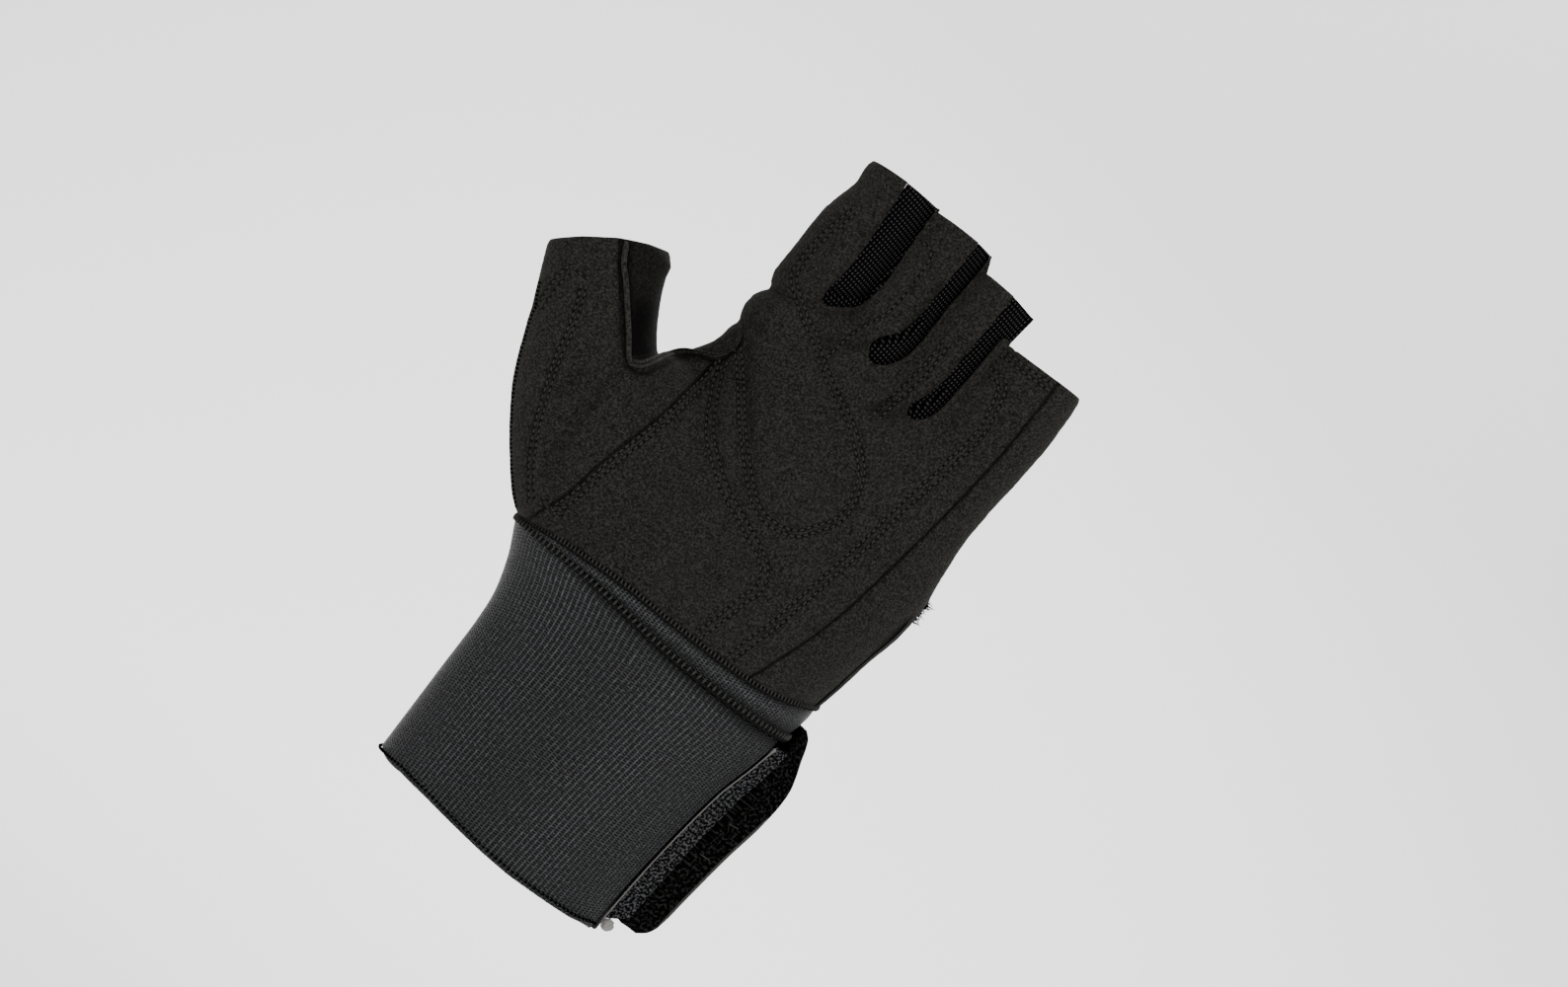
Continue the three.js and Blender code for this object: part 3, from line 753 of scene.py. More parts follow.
def distance(line, points, closed=False):
    """How far points in the front view lie from a line, more than 0 to the right of its way."""
    line = np.asarray(line, float)
    if closed:
        line = np.vstack([line, line[:1]])
    best = np.full(len(points), 1e9)
    signed = np.full(len(points), 1e9)
    for a, b in zip(line, line[1:]):
        way = b - a
        length = max(np.dot(way, way), 1e-9)
        off = points - a
        t = np.clip(off @ way / length, 0, 1)
        gap = off - t[:, None] * way
        far = np.hypot(gap[:, 0], gap[:, 1])
        side = np.where(way[0] * off[:, 1] - way[1] * off[:, 0] > 0, -1.0, 1.0)
        closer = far < best
        best = np.where(closer, far, best)
        signed = np.where(closer, far * side, signed)
    return signed


# Painted shade on the suede, each a line seen from the front, its darkness and half width: the shadow of
# the raised seams, the fold of the thumb, the fold on the little-finger side and the edges of the slots
PAINTED_SHADE_LINES = [
    (
        [(-69.6, 145.9), (-66.6, 140.6), (-63.6, 137.4), (-60.3, 134), (-57.3, 130.6), (-54, 126.8)],
        0.95, 0.5,
    ),
    (
        [(-67.3, 146), (-64.2, 140.8), (-61, 137.8), (-57.8, 134), (-54.5, 130.4), (-51.6, 127)],
        0.85, 0.8,
    ),
    ([(-53.5, 134), (-50, 128), (-47.5, 126.2), (-45, 128.5)], 0.97, 4.6),
    (
        [
            (-56, 130.2), (-52.7, 126.3), (-49.4, 121.9), (-46.8, 120.5), (-43.4, 121.7), (-41.2, 125.4),
            (-39, 129.6), (-35, 134.2), (-31.6, 135.4), (-29.5, 136.9), (-28.4, 140), (-28.2, 143.8),
            (-29.2, 145.6), (-30.8, 147.2),
        ],
        1.0, 0.75,
    ),
    ([(46.3, 80), (47.3, 86), (48.3, 94), (49.5, 102), (50.8, 110), (51.5, 115)], 0.95, 0.55),
    ([(3.8, 171), (4.2, 180), (4.6, 188)], 0.5, 1.8),
    ([(19.2, 161), (20.2, 170), (20.6, 180)], 0.45, 1.2),
    ([(-19.3, 168), (-18.7, 178), (-19, 196)], 0.3, 0.9),
]


def beside(line, amount):
    """A line moved to the right of its way by an amount."""
    along = unit(np.gradient(np.asarray(line, float), axis=0))
    return line + amount * np.stack([along[:, 1], -along[:, 0]], axis=1)


# Stitched lines on the front, seen from the front, and how far to their right each row lies
HEEL_CURVE = [
    (-29, 137), (-27.5, 132.5), (-25, 128), (-22.5, 123.5), (-20, 120), (-16, 116.5), (-8, 111),
    (1.5, 107), (10.5, 103), (14, 100), (15.5, 95.5), (14, 90.5), (12, 81.5), (10.5, 76.5),
]
DROP_CURVE = [
    (-28, 142), (-24.5, 138.5), (-21, 134.5), (-14.5, 127), (-7.5, 120), (0, 113.5), (4.5, 111.5),
    (9.5, 111.5), (14.5, 113.5), (17.5, 117.5), (20.5, 122), (21, 127), (20, 131.5), (18.5, 135.5),
    (15.5, 139), (7.5, 145), (-2, 149.5), (-10.5, 154.5), (-14.5, 157.5), (-19, 159.5),
    (-27.5, 165.5), (-28.5, 170), (-28.5, 178), (-26, 190),
]
SIDE_CURVE = [
    (28, 178), (32.5, 178), (34.5, 173.5), (36, 166), (36, 160), (35, 154), (34.5, 148.5), (33.5, 144),
    (31.5, 132), (30.5, 123.5), (28.5, 112.5), (26.5, 101), (24.5, 91), (20.5, 76.5),
]
THUMB_CURVE = [
    (-70, 130), (-68, 125.5), (-65, 116.5), (-64, 111.5), (-60.5, 102), (-57, 93.5), (-52, 84.5),
    (-46, 77),
]
STITCHED = {
    "thumb_seam": (THUMB_SEAM, (0.1, 1.9)),
    "heel": (HEEL_CURVE, (-1.0, 1.0)),
    "drop": (DROP_CURVE, (-0.8, 0.8)),
    "side": (SIDE_CURVE, (-1.0, 1.0)),
    "thumb": (THUMB_CURVE, (-0.7, 0.7)),
    "little_hem": ([(28, 184.2), (35, 184.3), (43, 184.8)], (-0.8, 0.8)),
    "middle": (
        [
            (-7.5, 193.5), (-5, 194.3), (-2.8, 192.5), (-2, 187), (-2, 180), (-2.6, 174), (-4.5, 169),
            (-6.5, 164), (-7.5, 158), (-8, 153.5),
        ],
        (0.0,),
    ),
    "ring": ([(14.3, 177), (14.5, 170), (13.8, 163), (12.6, 156), (12, 151)], (-1.0, 1.0)),
    "thumb_side": ([(-75.5, 133), (-76.3, 126), (-75.6, 118)], (-0.9, 0.9)),
    "thumb_top": ([(-75, 132), (-70.5, 132.5)], (0.0,)),
    "thumb_foot": ([(-44, 78.6), (-36.5, 79.8)], (-0.9, 0.9)),
}


@cache
def stitch_rows():
    """Every row of stitches on the front, as smooth lines seen from the front."""
    rows = []
    for name, (line, offsets) in STITCHED.items():
        if name == "thumb_seam":
            line = on_palm(line[1:])
        smooth = smooth_line(line, 0.8)
        rows += [beside(smooth, amount) for amount in offsets]
    return rows


# Soft creases: a line seen from the front, its depth and half width
CREASES = [
    ([(-26, 143), (-18, 134), (-10, 125.5)], 0.5, 1.6),
    ([(-49, 120), (-49.5, 104), (-47, 85)], 0.5, 2.2),
    ([(-57, 112), (-58, 105)], 0.4, 1.4),
    ([(-34, 160), (-29, 160.2), (-23, 161.2)], 0.8, 1.2),
    ([(-33, 148), (-29, 150), (-25, 150)], 0.4, 1.5),
    ([(0, 165), (-6, 160.5), (-12, 158)], 0.5, 2.0),
    ([(18, 156), (13, 152), (9, 151)], 0.5, 1.8),
    ([(-10, 171), (-13, 165), (-20, 163.5)], 0.35, 1.5),
]


def seen(points):
    """Where the camera sees points, on the plane y = 0."""
    scale = -EYE[1] / (points[:, 1] - EYE[1])
    return EYE[[0, 2]] + (points[:, [0, 2]] - EYE[[0, 2]]) * scale[:, None]


def close_to(line, places, reach):
    """How far places lie from a line, as far as they are within reach of it."""
    line = np.asarray(line, float)
    near = np.full(len(places), 1e3)
    low, high = line.min(axis=0) - reach, line.max(axis=0) + reach
    inside = np.all((places > low) & (places < high), axis=1)
    near[inside] = np.abs(distance(line, places[inside]))
    return near


@cache
def seam_lines():
    """The seams between the suede panels and their edges, at their true places."""
    lines = [smooth_line(on_palm(ULNAR_SEAM), 2), smooth_line(on_palm(THUMB_SEAM), 2)]
    return lines + [smooth_line(SUEDE_EDGE, 3), HEMS, smooth_line(THUMB_HEM, 3)]


def line_distance(points):
    """How far points lie from the nearest stitched line or seam."""
    places = seen(points)
    near = np.full(len(points), 1e3)
    for row in stitch_rows():
        near = np.minimum(near, close_to(row, places, 4))
    for edge in seam_lines()[:2]:
        near = np.minimum(near, close_to(edge, points[:, [0, 2]], 4))
    return near


def relief(points):
    """How far the front stands out at points near the skin, and its painted shade: pads, seams, creases
    and shadows.
    """
    places = seen(points)
    height, shade = np.zeros(len(points)), np.zeros(len(points))
    for row in stitch_rows():
        near = close_to(row, places, 6)
        height -= 0.4 * bell(near, 0.45) + 0.22 * bell(near, 2.2)
        # Painted shade in the groove along each row of stitches
        shade = np.maximum(shade, 0.97 * bell(near, 0.36))
    for index, edge in enumerate(seam_lines()):
        near = close_to(edge, points[:, [0, 2]], 6)
        height -= 0.45 * bell(near, 0.6) + 0.15 * bell(near, 2.0)
        # Painted shade in the seams between the panels and along the suede's edge
        if index < 3:
            shade = np.maximum(shade, 0.95 * bell(near, 0.45))
    for line, depth, half in CREASES:
        near = close_to(smooth_line(line, 2), places, 10)
        height -= depth * bell(near, half)
        # A light painted shade in each crease
        shade = np.maximum(shade, 0.3 * bell(near, half))
    # Painted shadows beside the raised seams, in the folds and at the slots' edges
    for line, amount, half in PAINTED_SHADE_LINES:
        near = close_to(smooth_line(line, 1), places, 10)
        shade = np.maximum(shade, amount * bell(near, half))
    for pad, rise in ((DROP_PAD, PAD_RISE), (HEEL_PAD, 0.5 * PAD_RISE)):
        inside = distance(ring_line(on_palm(pad), 2), places, closed=True)
        height += rise * soft_step(-inside / 3.5)
    return height, shade


@cache
def trunk_samples():
    """Sections of the wrist at close steps, one row of numbers each."""
    places = np.linspace(-0.12, 1.12, 249)
    ovals = [trunk_section(place) for place in places]
    rows = [[*oval["at"], oval["tilt"], oval["half"], oval["front"], oval["back"]] for oval in ovals]
    return places, np.array(rows)


def on_wrist(places, angles, inset=0.0):
    """Points on the wrist's skin at many places and angles at once."""
    known, rows = trunk_samples()
    x, y, z, tilt, half, front, back = (np.interp(places, known, column) for column in rows.T)
    cos, sin = np.cos(angles), np.sin(angles)
    side = (half - inset) * np.sign(cos) * np.abs(cos) ** (2 / 2.2)
    lift = (np.where(sin < 0, front, back) - inset) * np.sign(sin) * np.abs(sin) ** (2 / 2.2)
    return np.stack([x + side * np.cos(tilt), y + lift, z + side * np.sin(tilt)], axis=-1)


# The band's two edges, seen from the front
FOOT_SEEN = [
    (-38, -1.4), (-30, -0.9), (-20, -1.8), (0, -4.0), (10, -4.5), (30, -3.7), (37, -2.3), (40, -3.1),
]
BAND_SEEN = [
    (-50, 71.6), (-30, 70.6), (-20, 70), (-10, 69), (0, 67.8),
    (10, 67.1), (30, 67), (40, 67.3), (50, 69),
]
FOOT_EDGE = true_line(FOOT_SEEN, wrist_depth)
BAND_EDGE = true_line(BAND_SEEN, wrist_depth)


def place_at(edge, angles, straight=False):
    """Where a ring round the wrist meets an edge; behind the wrist the foot's edge is straight."""
    edge = np.array(edge, float)
    places = np.full(angles.shape, 0.5)
    for _ in range(8):
        points = on_wrist(places, angles)
        height = np.interp(points[..., 0], edge[:, 0], edge[:, 1])
        if straight:
            front = soft_step(-np.sin(angles) * 1.5)
            height = front * height + (1 - front) * -0.061 * points[..., 0]
        places = places + (height - points[..., 2]) / CUFF_HEIGHT
    return places


def spaced(length, step, rim=1.0):
    """Shares from 0 to 1 about a step apart, closer within a rim's width of both ends."""
    ends = np.array([0, 0.06, 0.18, 0.38, 0.65]) * rim
    inside = np.linspace(rim, length - rim, max(2, int((length - 2 * rim) / step) + 1))
    return np.concatenate([ends, inside, length - ends[::-1]]) / length


# How far the painted shade along a sheet's rim reaches
RIM_SHADE_REACH = 0.4


def sheet_solid(name, outer, inner, rim=0.8, closed=False):
    """A sheet with two faces and a rounded rim, from two grids of points; its UV map is in mm."""
    rows, columns, _ = outer.shape
    u, v = run(outer[rows // 2]), run(outer[:, columns // 2])
    away = np.minimum(v, v[-1] - v)[:, None] * np.ones(columns)
    if not closed:
        away = np.minimum(away, np.minimum(u, u[-1] - u)[None, :])
    pinch = 1 - np.sqrt(np.clip(1 - (1 - np.clip(away / rim, 0, 1)) ** 2, 0, 1))
    middle = (outer + inner) / 2
    outer = outer + (middle - outer) * pinch[..., None] * 0.92
    inner = inner + (middle - inner) * pinch[..., None] * 0.92
    points = np.concatenate([outer.reshape(-1, 3), inner.reshape(-1, 3)])
    faces = []
    half = rows * columns
    across_count = columns if closed else columns - 1
    for r in range(rows - 1):
        for c in range(across_count):
            a, b = r * columns + c, r * columns + (c + 1) % columns
            faces.append((a, b, b + columns, a + columns))
            faces.append((b + half, a + half, a + columns + half, b + columns + half))
    for c in range(across_count):
        for r, turn in ((0, False), (rows - 1, True)):
            a, b = r * columns + c, r * columns + (c + 1) % columns
            faces.append((b, a, a + half, b + half) if not turn else (a, b, b + half, a + half))
    if not closed:
        for r in range(rows - 1):
            for c, turn in ((0, False), (columns - 1, True)):
                a, b = r * columns + c, (r + 1) * columns + c
                faces.append((a, b, b + half, a + half) if not turn else (b, a, a + half, b + half))
    piece = as_object(name, points, faces)
    if closed:
        u = np.append(u, u[-1] + np.linalg.norm(outer[rows // 2, -1] - outer[rows // 2, 0]))
    layer = piece.data.uv_layers.new(name="UVMap")
    corner = np.zeros(len(piece.data.loops), int)
    piece.data.loops.foreach_get("vertex_index", corner)
    corner %= half
    column = (corner % columns).reshape(-1, 4)
    if closed:
        crosses = (column.max(axis=1) == columns - 1) & (column.min(axis=1) == 0)
        column = np.where(crosses[:, None] & (column == 0), columns, column)
    heights = outer[..., 2].reshape(-1)
    layer.data.foreach_set("uv", np.stack([u[column.ravel()], heights[corner]], axis=-1).ravel())
    fix_normals(piece)
    # Painted shade along the sheet's rims, where it meets its neighbours
    rim_shade = bell(away, RIM_SHADE_REACH).ravel()
    set_shade(piece, 0.9 * np.concatenate([rim_shade, rim_shade]))
    return piece


def set_shade(piece, values):
    """Writes the painted shade of each point, from 0 to 1, where it isn't darker already."""
    layer = piece.data.attributes.get("shade") or piece.data.attributes.new("shade", "FLOAT", "POINT")
    before_now = np.zeros(len(values))
    layer.data.foreach_get("value", before_now)
    layer.data.foreach_set("value", np.maximum(values, before_now))


def fix_normals(piece):
    """Turns every face of a closed piece outwards."""
    with editing(piece) as bm:
        bmesh.ops.recalc_face_normals(bm, faces=bm.faces)


BAND_TOP = 1 - SEAM_STRIP / CUFF_HEIGHT
BAND_START = (-20.0, -12.0)
BAND_END = 8.0 - 360.0


def band_start(place):
    """The angle of the band's front end, in degrees."""
    return BAND_START[0] + (BAND_START[1] - BAND_START[0]) * place / BAND_TOP


# How long the band is round the wrist and how high, to space its points
BAND_LENGTH, BAND_RISE = 205, 70


def wrist_band():
    """The elastic band, from its front end round to its end behind the little-finger side."""
    shares = spaced(BAND_LENGTH, 0.9)
    rise = spaced(BAND_RISE, 1.2)
    angles = np.radians(BAND_END + (BAND_START[0] - BAND_END) * shares)
    low, high = place_at(FOOT_EDGE, angles, True), place_at(BAND_EDGE, angles) - 0.3 / CUFF_HEIGHT
    places = low[None, :] + (high - low)[None, :] * rise[:, None]
    starts = band_start(places)
    turned = np.radians(BAND_END + (starts - BAND_END) * shares[None, :])
    outer = on_wrist(places, turned)
    inner = on_wrist(places, turned, BAND_WALL)
    piece = sheet_solid("wrist_band", outer, inner)
    # Painted shadow at the band's front end, in the gap beside the hook tape
    set_shade(piece, np.tile(0.95 * np.exp(-(((1 - shares) * BAND_LENGTH / 0.9) ** 4)), 2 * len(rise)))
    return piece


def seam_strip():
    """The ring of knit between the band and the suede."""
    angles = np.linspace(0, 2 * math.pi, 240, endpoint=False)
    low, high = place_at(BAND_EDGE, angles), place_at(SUEDE_EDGE, angles)
    rise = spaced(7, 0.7, 0.6)
    gap = GAP / CUFF_HEIGHT
    places = low + gap + (high - low - 2 * gap) * rise[:, None]
    angles = np.broadcast_to(angles, places.shape)
    outer, inner = on_wrist(places, angles), on_wrist(places, angles, BAND_WALL)
    return sheet_solid("seam_strip", outer, inner, rim=0.6, closed=True)


TAPE_WIDTH = 6.0
TAPE_HEIGHT = 66
TAPE_WALL = 1.2
TAPE_TURN = math.radians(25)
TAPE_ENDS = (0.078, 0.99)
TAB_WIDTH = 12.0
TAB_HEIGHT = 66.0
TAB_WALL = 2.0
TAB_FOOT = 6.6
# The tab's outer edge: share of its height, share of its width
TAB_EDGE = [
    (0, 0.66), (0.03, 0.86), (0.08, 0.97), (0.2, 1.02), (0.45, 1.08), (0.65, 1.12),
    (0.78, 0.98), (0.88, 0.76), (0.95, 0.55), (0.985, 0.38), (1, 0.2),
]


def tape_start(places):
    """Where the tape leaves the band's front end."""
    within = np.clip(places, TAPE_ENDS[0] * BAND_TOP, TAPE_ENDS[1] * BAND_TOP)
    return on_wrist(within, np.radians(band_start(within) + 3), -GAP)


def hook_tape():
    """The strip of hooks that goes on from the band's front end."""
    rise, shares = spaced(TAPE_HEIGHT, 0.9, 1.4), spaced(TAPE_WIDTH, 0.5, 0.5)
    places = BAND_TOP * (TAPE_ENDS[0] + (TAPE_ENDS[1] - TAPE_ENDS[0]) * rise)
    start = tape_start(places)[:, None, :]
    width = (TAPE_WIDTH * (1 - 0.35 * rise**3))[:, None] * shares
    width -= 1.6 * np.clip(1 - rise * TAPE_HEIGHT / 2.5, 0, 1)[:, None] ** 2 * shares**2
    cos, sin = math.cos(TAPE_TURN), math.sin(TAPE_TURN)
    way = np.stack([width * cos, width * sin, np.zeros_like(width)], axis=-1)
    way[..., 2] = 2.6 * shares * np.clip(1 - rise * TAPE_HEIGHT / 9, 0, 1)[:, None]
    through = np.array([-TAPE_WALL * sin, TAPE_WALL * cos, 0])
    return sheet_solid("hook_tape", start + way, start + way + through, rim=0.5)


def tab_front(x, place):
    """How far forward the free part of the tab stands."""
    start = tape_start(np.array([place]))[0]
    along = min(max(x - start[0], 0), TAPE_WIDTH)
    return start[1] + along * math.tan(TAPE_TURN) + TAPE_WALL / math.cos(TAPE_TURN) + 3 * GAP


def loop_tab():
    """The tab that lies on the band behind the little-finger side and then turns outwards."""
    rise, shares = spaced(TAB_HEIGHT, 0.9, 1.2), spaced(26, 0.7, 1.0)
    faces = ([], [])
    for v in rise:
        place = (TAB_FOOT + v * TAB_HEIGHT) / CUFF_HEIGHT
        oval = trunk_section(place)
        side = oval["at"][0] + oval["half"]
        reach = TAB_WIDTH * between(TAB_EDGE, v)[1]
        z = ring(oval, np.array([0.0]))[0][2]
        laid = ring(oval, np.radians([52.0, 36.0, 20.0]), -GAP)
        free = [(x, tab_front(x, place), z) for x in (side + share * reach for share in (0.3, 0.65, 1))]
        laid[:, 2] = z
        path = smooth_line(np.vstack([laid, free]), 0.5)
        far = run(path)
        at = np.stack([np.interp(shares * far[-1], far, path[:, k]) for k in range(3)], axis=-1)
        along = np.gradient(at, axis=0)
        outwards = unit(np.stack([-along[:, 1], along[:, 0], np.zeros(len(at))], axis=-1))
        faces[0].append(at + outwards * TAB_WALL)
        faces[1].append(at)
    return sheet_solid("loop_tab", np.array(faces[0]), np.array(faces[1]), rim=1.0)


def resampled(points, step):
    """The same line with a point every step."""
    far = run(points)
    at = np.linspace(0, far[-1], max(2, int(far[-1] / step) + 1))
    return np.stack([np.interp(at, far, points[:, k]) for k in range(points.shape[1])], axis=-1)


def nearest_skin(points):
    """The nearest places on the skin in millimetres, the way out there and how far away it is."""
    places, ways, away = [], [], []
    tree = skin()
    for point in points:
        place, way, _, far = tree.find_nearest(Vector(point) * MM)
        places.append(place / MM)
        ways.append(way)
        away.append(far / MM)
    return np.array(places), np.array(ways), np.array(away)


def smoothed(values, times):
    """Rows of numbers averaged with their neighbours."""
    for _ in range(times):
        values = np.vstack([values[:1], (values[:-2] + 2 * values[1:-1] + values[2:]) / 4, values[-1:]])
    return values


def oval_profile(wide, deep, step):
    """The corners of an oval cord, a step in degrees apart."""
    return [(wide * math.cos(a), deep * math.sin(a)) for a in np.radians(np.arange(0, 360, step))]


def swept(name, path, ways, profile, size, taper=2.0):
    """A body along a path: the profile's first number is sideways, its second is outwards."""
    along = unit(np.gradient(path, axis=0))
    side = unit(np.cross(along, ways))
    out = np.cross(side, along)
    far = run(path)
    ends = np.clip(np.minimum(far, far[-1] - far) / taper, 0.0, 1)
    size = size * (np.sqrt(1 - (1 - ends) ** 2) * 0.85 + 0.15)
    profile = np.array(profile, float)
    count = len(profile)
    points = (
        path[:, None, :]
        + side[:, None, :] * profile[None, :, :1] * size[:, None, None]
        + out[:, None, :] * profile[None, :, 1:] * size[:, None, None]
    )
    faces = []
    for i in range(len(path) - 1):
        for k in range(count):
            a, b = i * count + k, i * count + (k + 1) % count
            faces.append((a, b, b + count, a + count))
    faces.append(tuple(range(count)))
    faces.append(tuple(range((len(path) - 1) * count, len(path) * count)))
    piece = as_object(name, points.reshape(-1, 3), faces)
    fix_normals(piece)
    return piece


# The raised seams, seen from the front, and their profiles of lips
RIDGE_LINE = [
    (-69, 146.3), (-66, 141), (-63, 138), (-60, 134.5), (-57, 131), (-54, 127.5), (-51.5, 124.3),
    (-50, 122.4), (-48, 121.3),
]
WEB_LINE = [
    (-48.6, 121.2), (-46.5, 121.6), (-44.8, 123), (-42.3, 126.6), (-40, 129.7), (-37, 133), (-34, 135.2),
    (-31.4, 136.6), (-29.6, 138.6), (-28.6, 141.4), (-28.5, 144), (-29.4, 146.4), (-31, 148),
]
RIDGE_LIP = [
    (-1.25, -0.3), (-1.35, 0.3), (-1.2, 0.75), (-0.85, 1.0),
    (-0.4, 1.0), (-0.1, 0.75), (0.05, 0.3), (0.05, -0.3),
]
WEB_LIPS = [
    (-1.75, -0.3), (-1.8, 0.3), (-1.6, 0.75), (-1.3, 0.9), (-1.0, 0.7), (-0.85, 0.25), (-0.7, 0.25),
    (-0.5, 0.75), (-0.2, 0.95), (0.1, 0.8), (0.25, 0.3), (0.2, -0.3),
]


def lip_along(name, line, profile, thin_from):
    """A raised seam or cord on the skin along a line seen from the front; it gets thinner from a place
    on, and the low parts of its profile get painted shade.
    """
    points, ways = on_front(resampled(smooth_line(line, 0.5), 0.5))
    points, ways = smoothed(points, 4), unit(smoothed(ways, 10) + np.array([0, -0.9, 0]))
    size = 1 - 0.45 * soft_step((run(points) - thin_from) / 6)
    piece = swept(name, points, ways, profile, size)
    # Painted shade on the low parts of the profile, beside and between the lips
    low = 0.97 * np.clip(1 - np.array(profile)[:, 1] / 0.5, 0, 1)
    set_shade(piece, np.tile(low, len(points)))
    return piece


def thumb_ridge():
    """The raised seam down the thumb."""
    return lip_along("thumb_ridge", RIDGE_LINE, RIDGE_LIP, 1e3)


def web_binding():
    """The raised seam round the web."""
    return lip_along("web_binding", WEB_LINE, WEB_LIPS, 24)


# The profile of a dark cord in the fold where the front's suede meets the back, on the little-finger
# side: a painted shadow of that fold
FOLD_SHADOW_CORD = [(0.3, 0.0), (0.2, 0.25), (0, 0.36), (-0.2, 0.25), (-0.3, 0), (0, -0.3)]


def side_fold():
    """A dark cord along the little-finger side's fold: a painted shadow of the fold."""
    return lip_along("side_fold", along_outline(np.arange(80.0, 114), 60, -0.2, 1.1), FOLD_SHADOW_CORD, 1e3)


def ripple(point, size):
    """Soft noise from -1 to 1 whose waves are about a size across."""
    return noise.noise(Vector(point) / size)


# How far the mesh lies under the suede's edges, and its folds at the foot of each slot
RECESS = 1.4
SLOT_FOLDS = [
    ([(-19, 169), (-15.5, 169.8), (-12, 172), (-9, 174.5)], 1.6, 1.0),
    ([(-2, 166.5), (0.5, 168.8), (3.2, 172), (4.8, 177)], 1.6, 1.6),
    ([(17, 158), (19.5, 162), (21, 167)], 1.2, 1.3),
]

FRONT_PIECES = ("palm_panel", "thumb_panel", "side_panel", "thumb_gusset")


def refine(piece, reach):
    """Divides the outer faces of a piece that lie within reach of stitched lines and seams."""
    points = points_of(piece)
    near = line_distance(points) < reach
    if not near.any():
        return
    _, ways, away = nearest_skin(points[near])
    chosen = np.zeros(len(points), bool)
    chosen[np.nonzero(near)[0][(away < 0.6) & (ways[:, 1] < 0.3)]] = True
    with editing(piece) as bm:
        edges = [e for e in bm.edges if chosen[e.verts[0].index] and chosen[e.verts[1].index]]
        bmesh.ops.subdivide_edges(bm, edges=edges, cuts=1, use_grid_fill=True)


def raise_relief(name, piece):
    """Moves a panel's outer skin by the relief of its seams, pads and folds, and writes the painted shade
    of the front panels.
    """
    if name in FRONT_PIECES:
        refine(piece, 2.2)
        refine(piece, 1.1)
    points = points_of(piece)
    if name.startswith("fourchette"):
        height = np.full(len(points), RECESS)
        for line, depth, half in SLOT_FOLDS:
            near = np.abs(distance(smooth_line(line, 2), seen(points)))
            height += depth * bell(near, half)
        move_points(piece, points + np.array([0, 1, 0]) * height[:, None])
        return
    _, ways, away = nearest_skin(points)
    weight = np.clip(1 - away / (0.5 * WALL), 0, 1)
    if name in FRONT_PIECES:
        height, shade = relief(points)
        height *= soft_step((0.25 - ways[:, 1]) / 0.5)
        shade *= soft_step((0.8 - ways[:, 1]) / 0.3)
    else:
        height, shade = np.zeros(len(points)), np.zeros(len(points))
        for edge in (SUEDE_EDGE, HEMS, THUMB_HEM):
            near = close_to(edge, points[:, [0, 2]], 4)
            height -= 0.35 * bell(near, 0.8)
    height += np.array([0.2 * ripple(p, 11) + 0.07 * ripple(p, 4) for p in points])
    move_points(piece, points + ways * (height * weight)[:, None])
    # Painted shade of the stitch rows, seams, creases and shadows, on the front panels only
    set_shade(piece, shade)


def cloth_map(piece):
    """A UV map in millimetres for the mesh, which runs from the front round to the side."""
    mesh = piece.data
    layer = mesh.uv_layers.new(name="UVMap")
    points = points_of(piece)
    corner = np.zeros(len(mesh.loops), int)
    mesh.loops.foreach_get("vertex_index", corner)
    u = points[:, 0] + points[:, 1]
    v = points[:, 2] + 0.17 * points[:, 0]
    layer.data.foreach_set("uv", np.stack([u[corner], v[corner]], axis=-1).ravel())


def shade_softly(piece, angle=40):
    """Smooth shading, with sharp edges only where faces meet at more than an angle."""
    piece.data.polygons.foreach_set("use_smooth", [True] * len(piece.data.polygons))
    piece.data.set_sharp_from_angle(angle=math.radians(angle))


def settle(piece, name, material):
    """Gives a piece its material and lets it stand for a node of the frame."""
    piece.data.materials.clear()
    piece.data.materials.append(material)
    piece.name = name + "_cloth"
    piece.data.name = piece.name
    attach(piece, BODY)
    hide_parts(name)
    return piece


# Materials


class Nodes:
    """Adds nodes to a tree and links them, from left to right."""

    def __init__(self, tree):
        self.tree = tree
        self.count = 0

    def add(self, kind, inputs=None, **settings):
        node = self.tree.nodes.new(kind)
        node.location = (180 * self.count, 0)
        self.count += 1
        for key, value in settings.items():
            setattr(node, key, value)
        for key, value in (inputs or {}).items():
            self.put(node.inputs[key], value)
        return node

    def put(self, socket, value):
        if isinstance(value, bpy.types.NodeSocket):
            self.tree.links.new(value, socket)
        else:
            socket.default_value = value

    def math(self, operation, *values):
        inputs = dict(enumerate(values))
        return self.add("ShaderNodeMath", inputs, operation=operation).outputs[0]

    def noise(self, place, scale, detail=2.0, roughness=0.5):
        inputs = {"Vector": place, "Scale": scale, "Detail": detail, "Roughness": roughness}
        return self.add("ShaderNodeTexNoise", inputs).outputs["Fac"]

    def uv(self):
        return self.add("ShaderNodeUVMap", uv_map="UVMap").outputs["UV"]

    def group(self, tree, place, **inputs):
        return self.add("ShaderNodeGroup", {"Vector": place, **inputs}, node_tree=tree).outputs

    def unshaded(self, value):
        """A value made less where the piece's shade attribute paints shade."""
        shade = self.add("ShaderNodeAttribute", attribute_name="shade").outputs["Fac"]
        return self.math("MULTIPLY", value, self.math("SUBTRACT", 1.0, shade))


def group_tree(name, kind, inputs, outputs):
    """A node group with inputs (name, type, default) and outputs (name, type), and what it's given."""
    tree = bpy.data.node_groups.new(name, kind)
    for label, socket_type, default in inputs:
        socket = tree.interface.new_socket(label, in_out="INPUT", socket_type=socket_type)
        if default is not None:
            socket.default_value = default
    for label, socket_type in outputs:
        tree.interface.new_socket(label, in_out="OUTPUT", socket_type=socket_type)
    nodes = Nodes(tree)
    return tree, nodes, nodes.add("NodeGroupInput").outputs


FLOAT, VECTOR = "NodeSocketFloat", "NodeSocketVector"


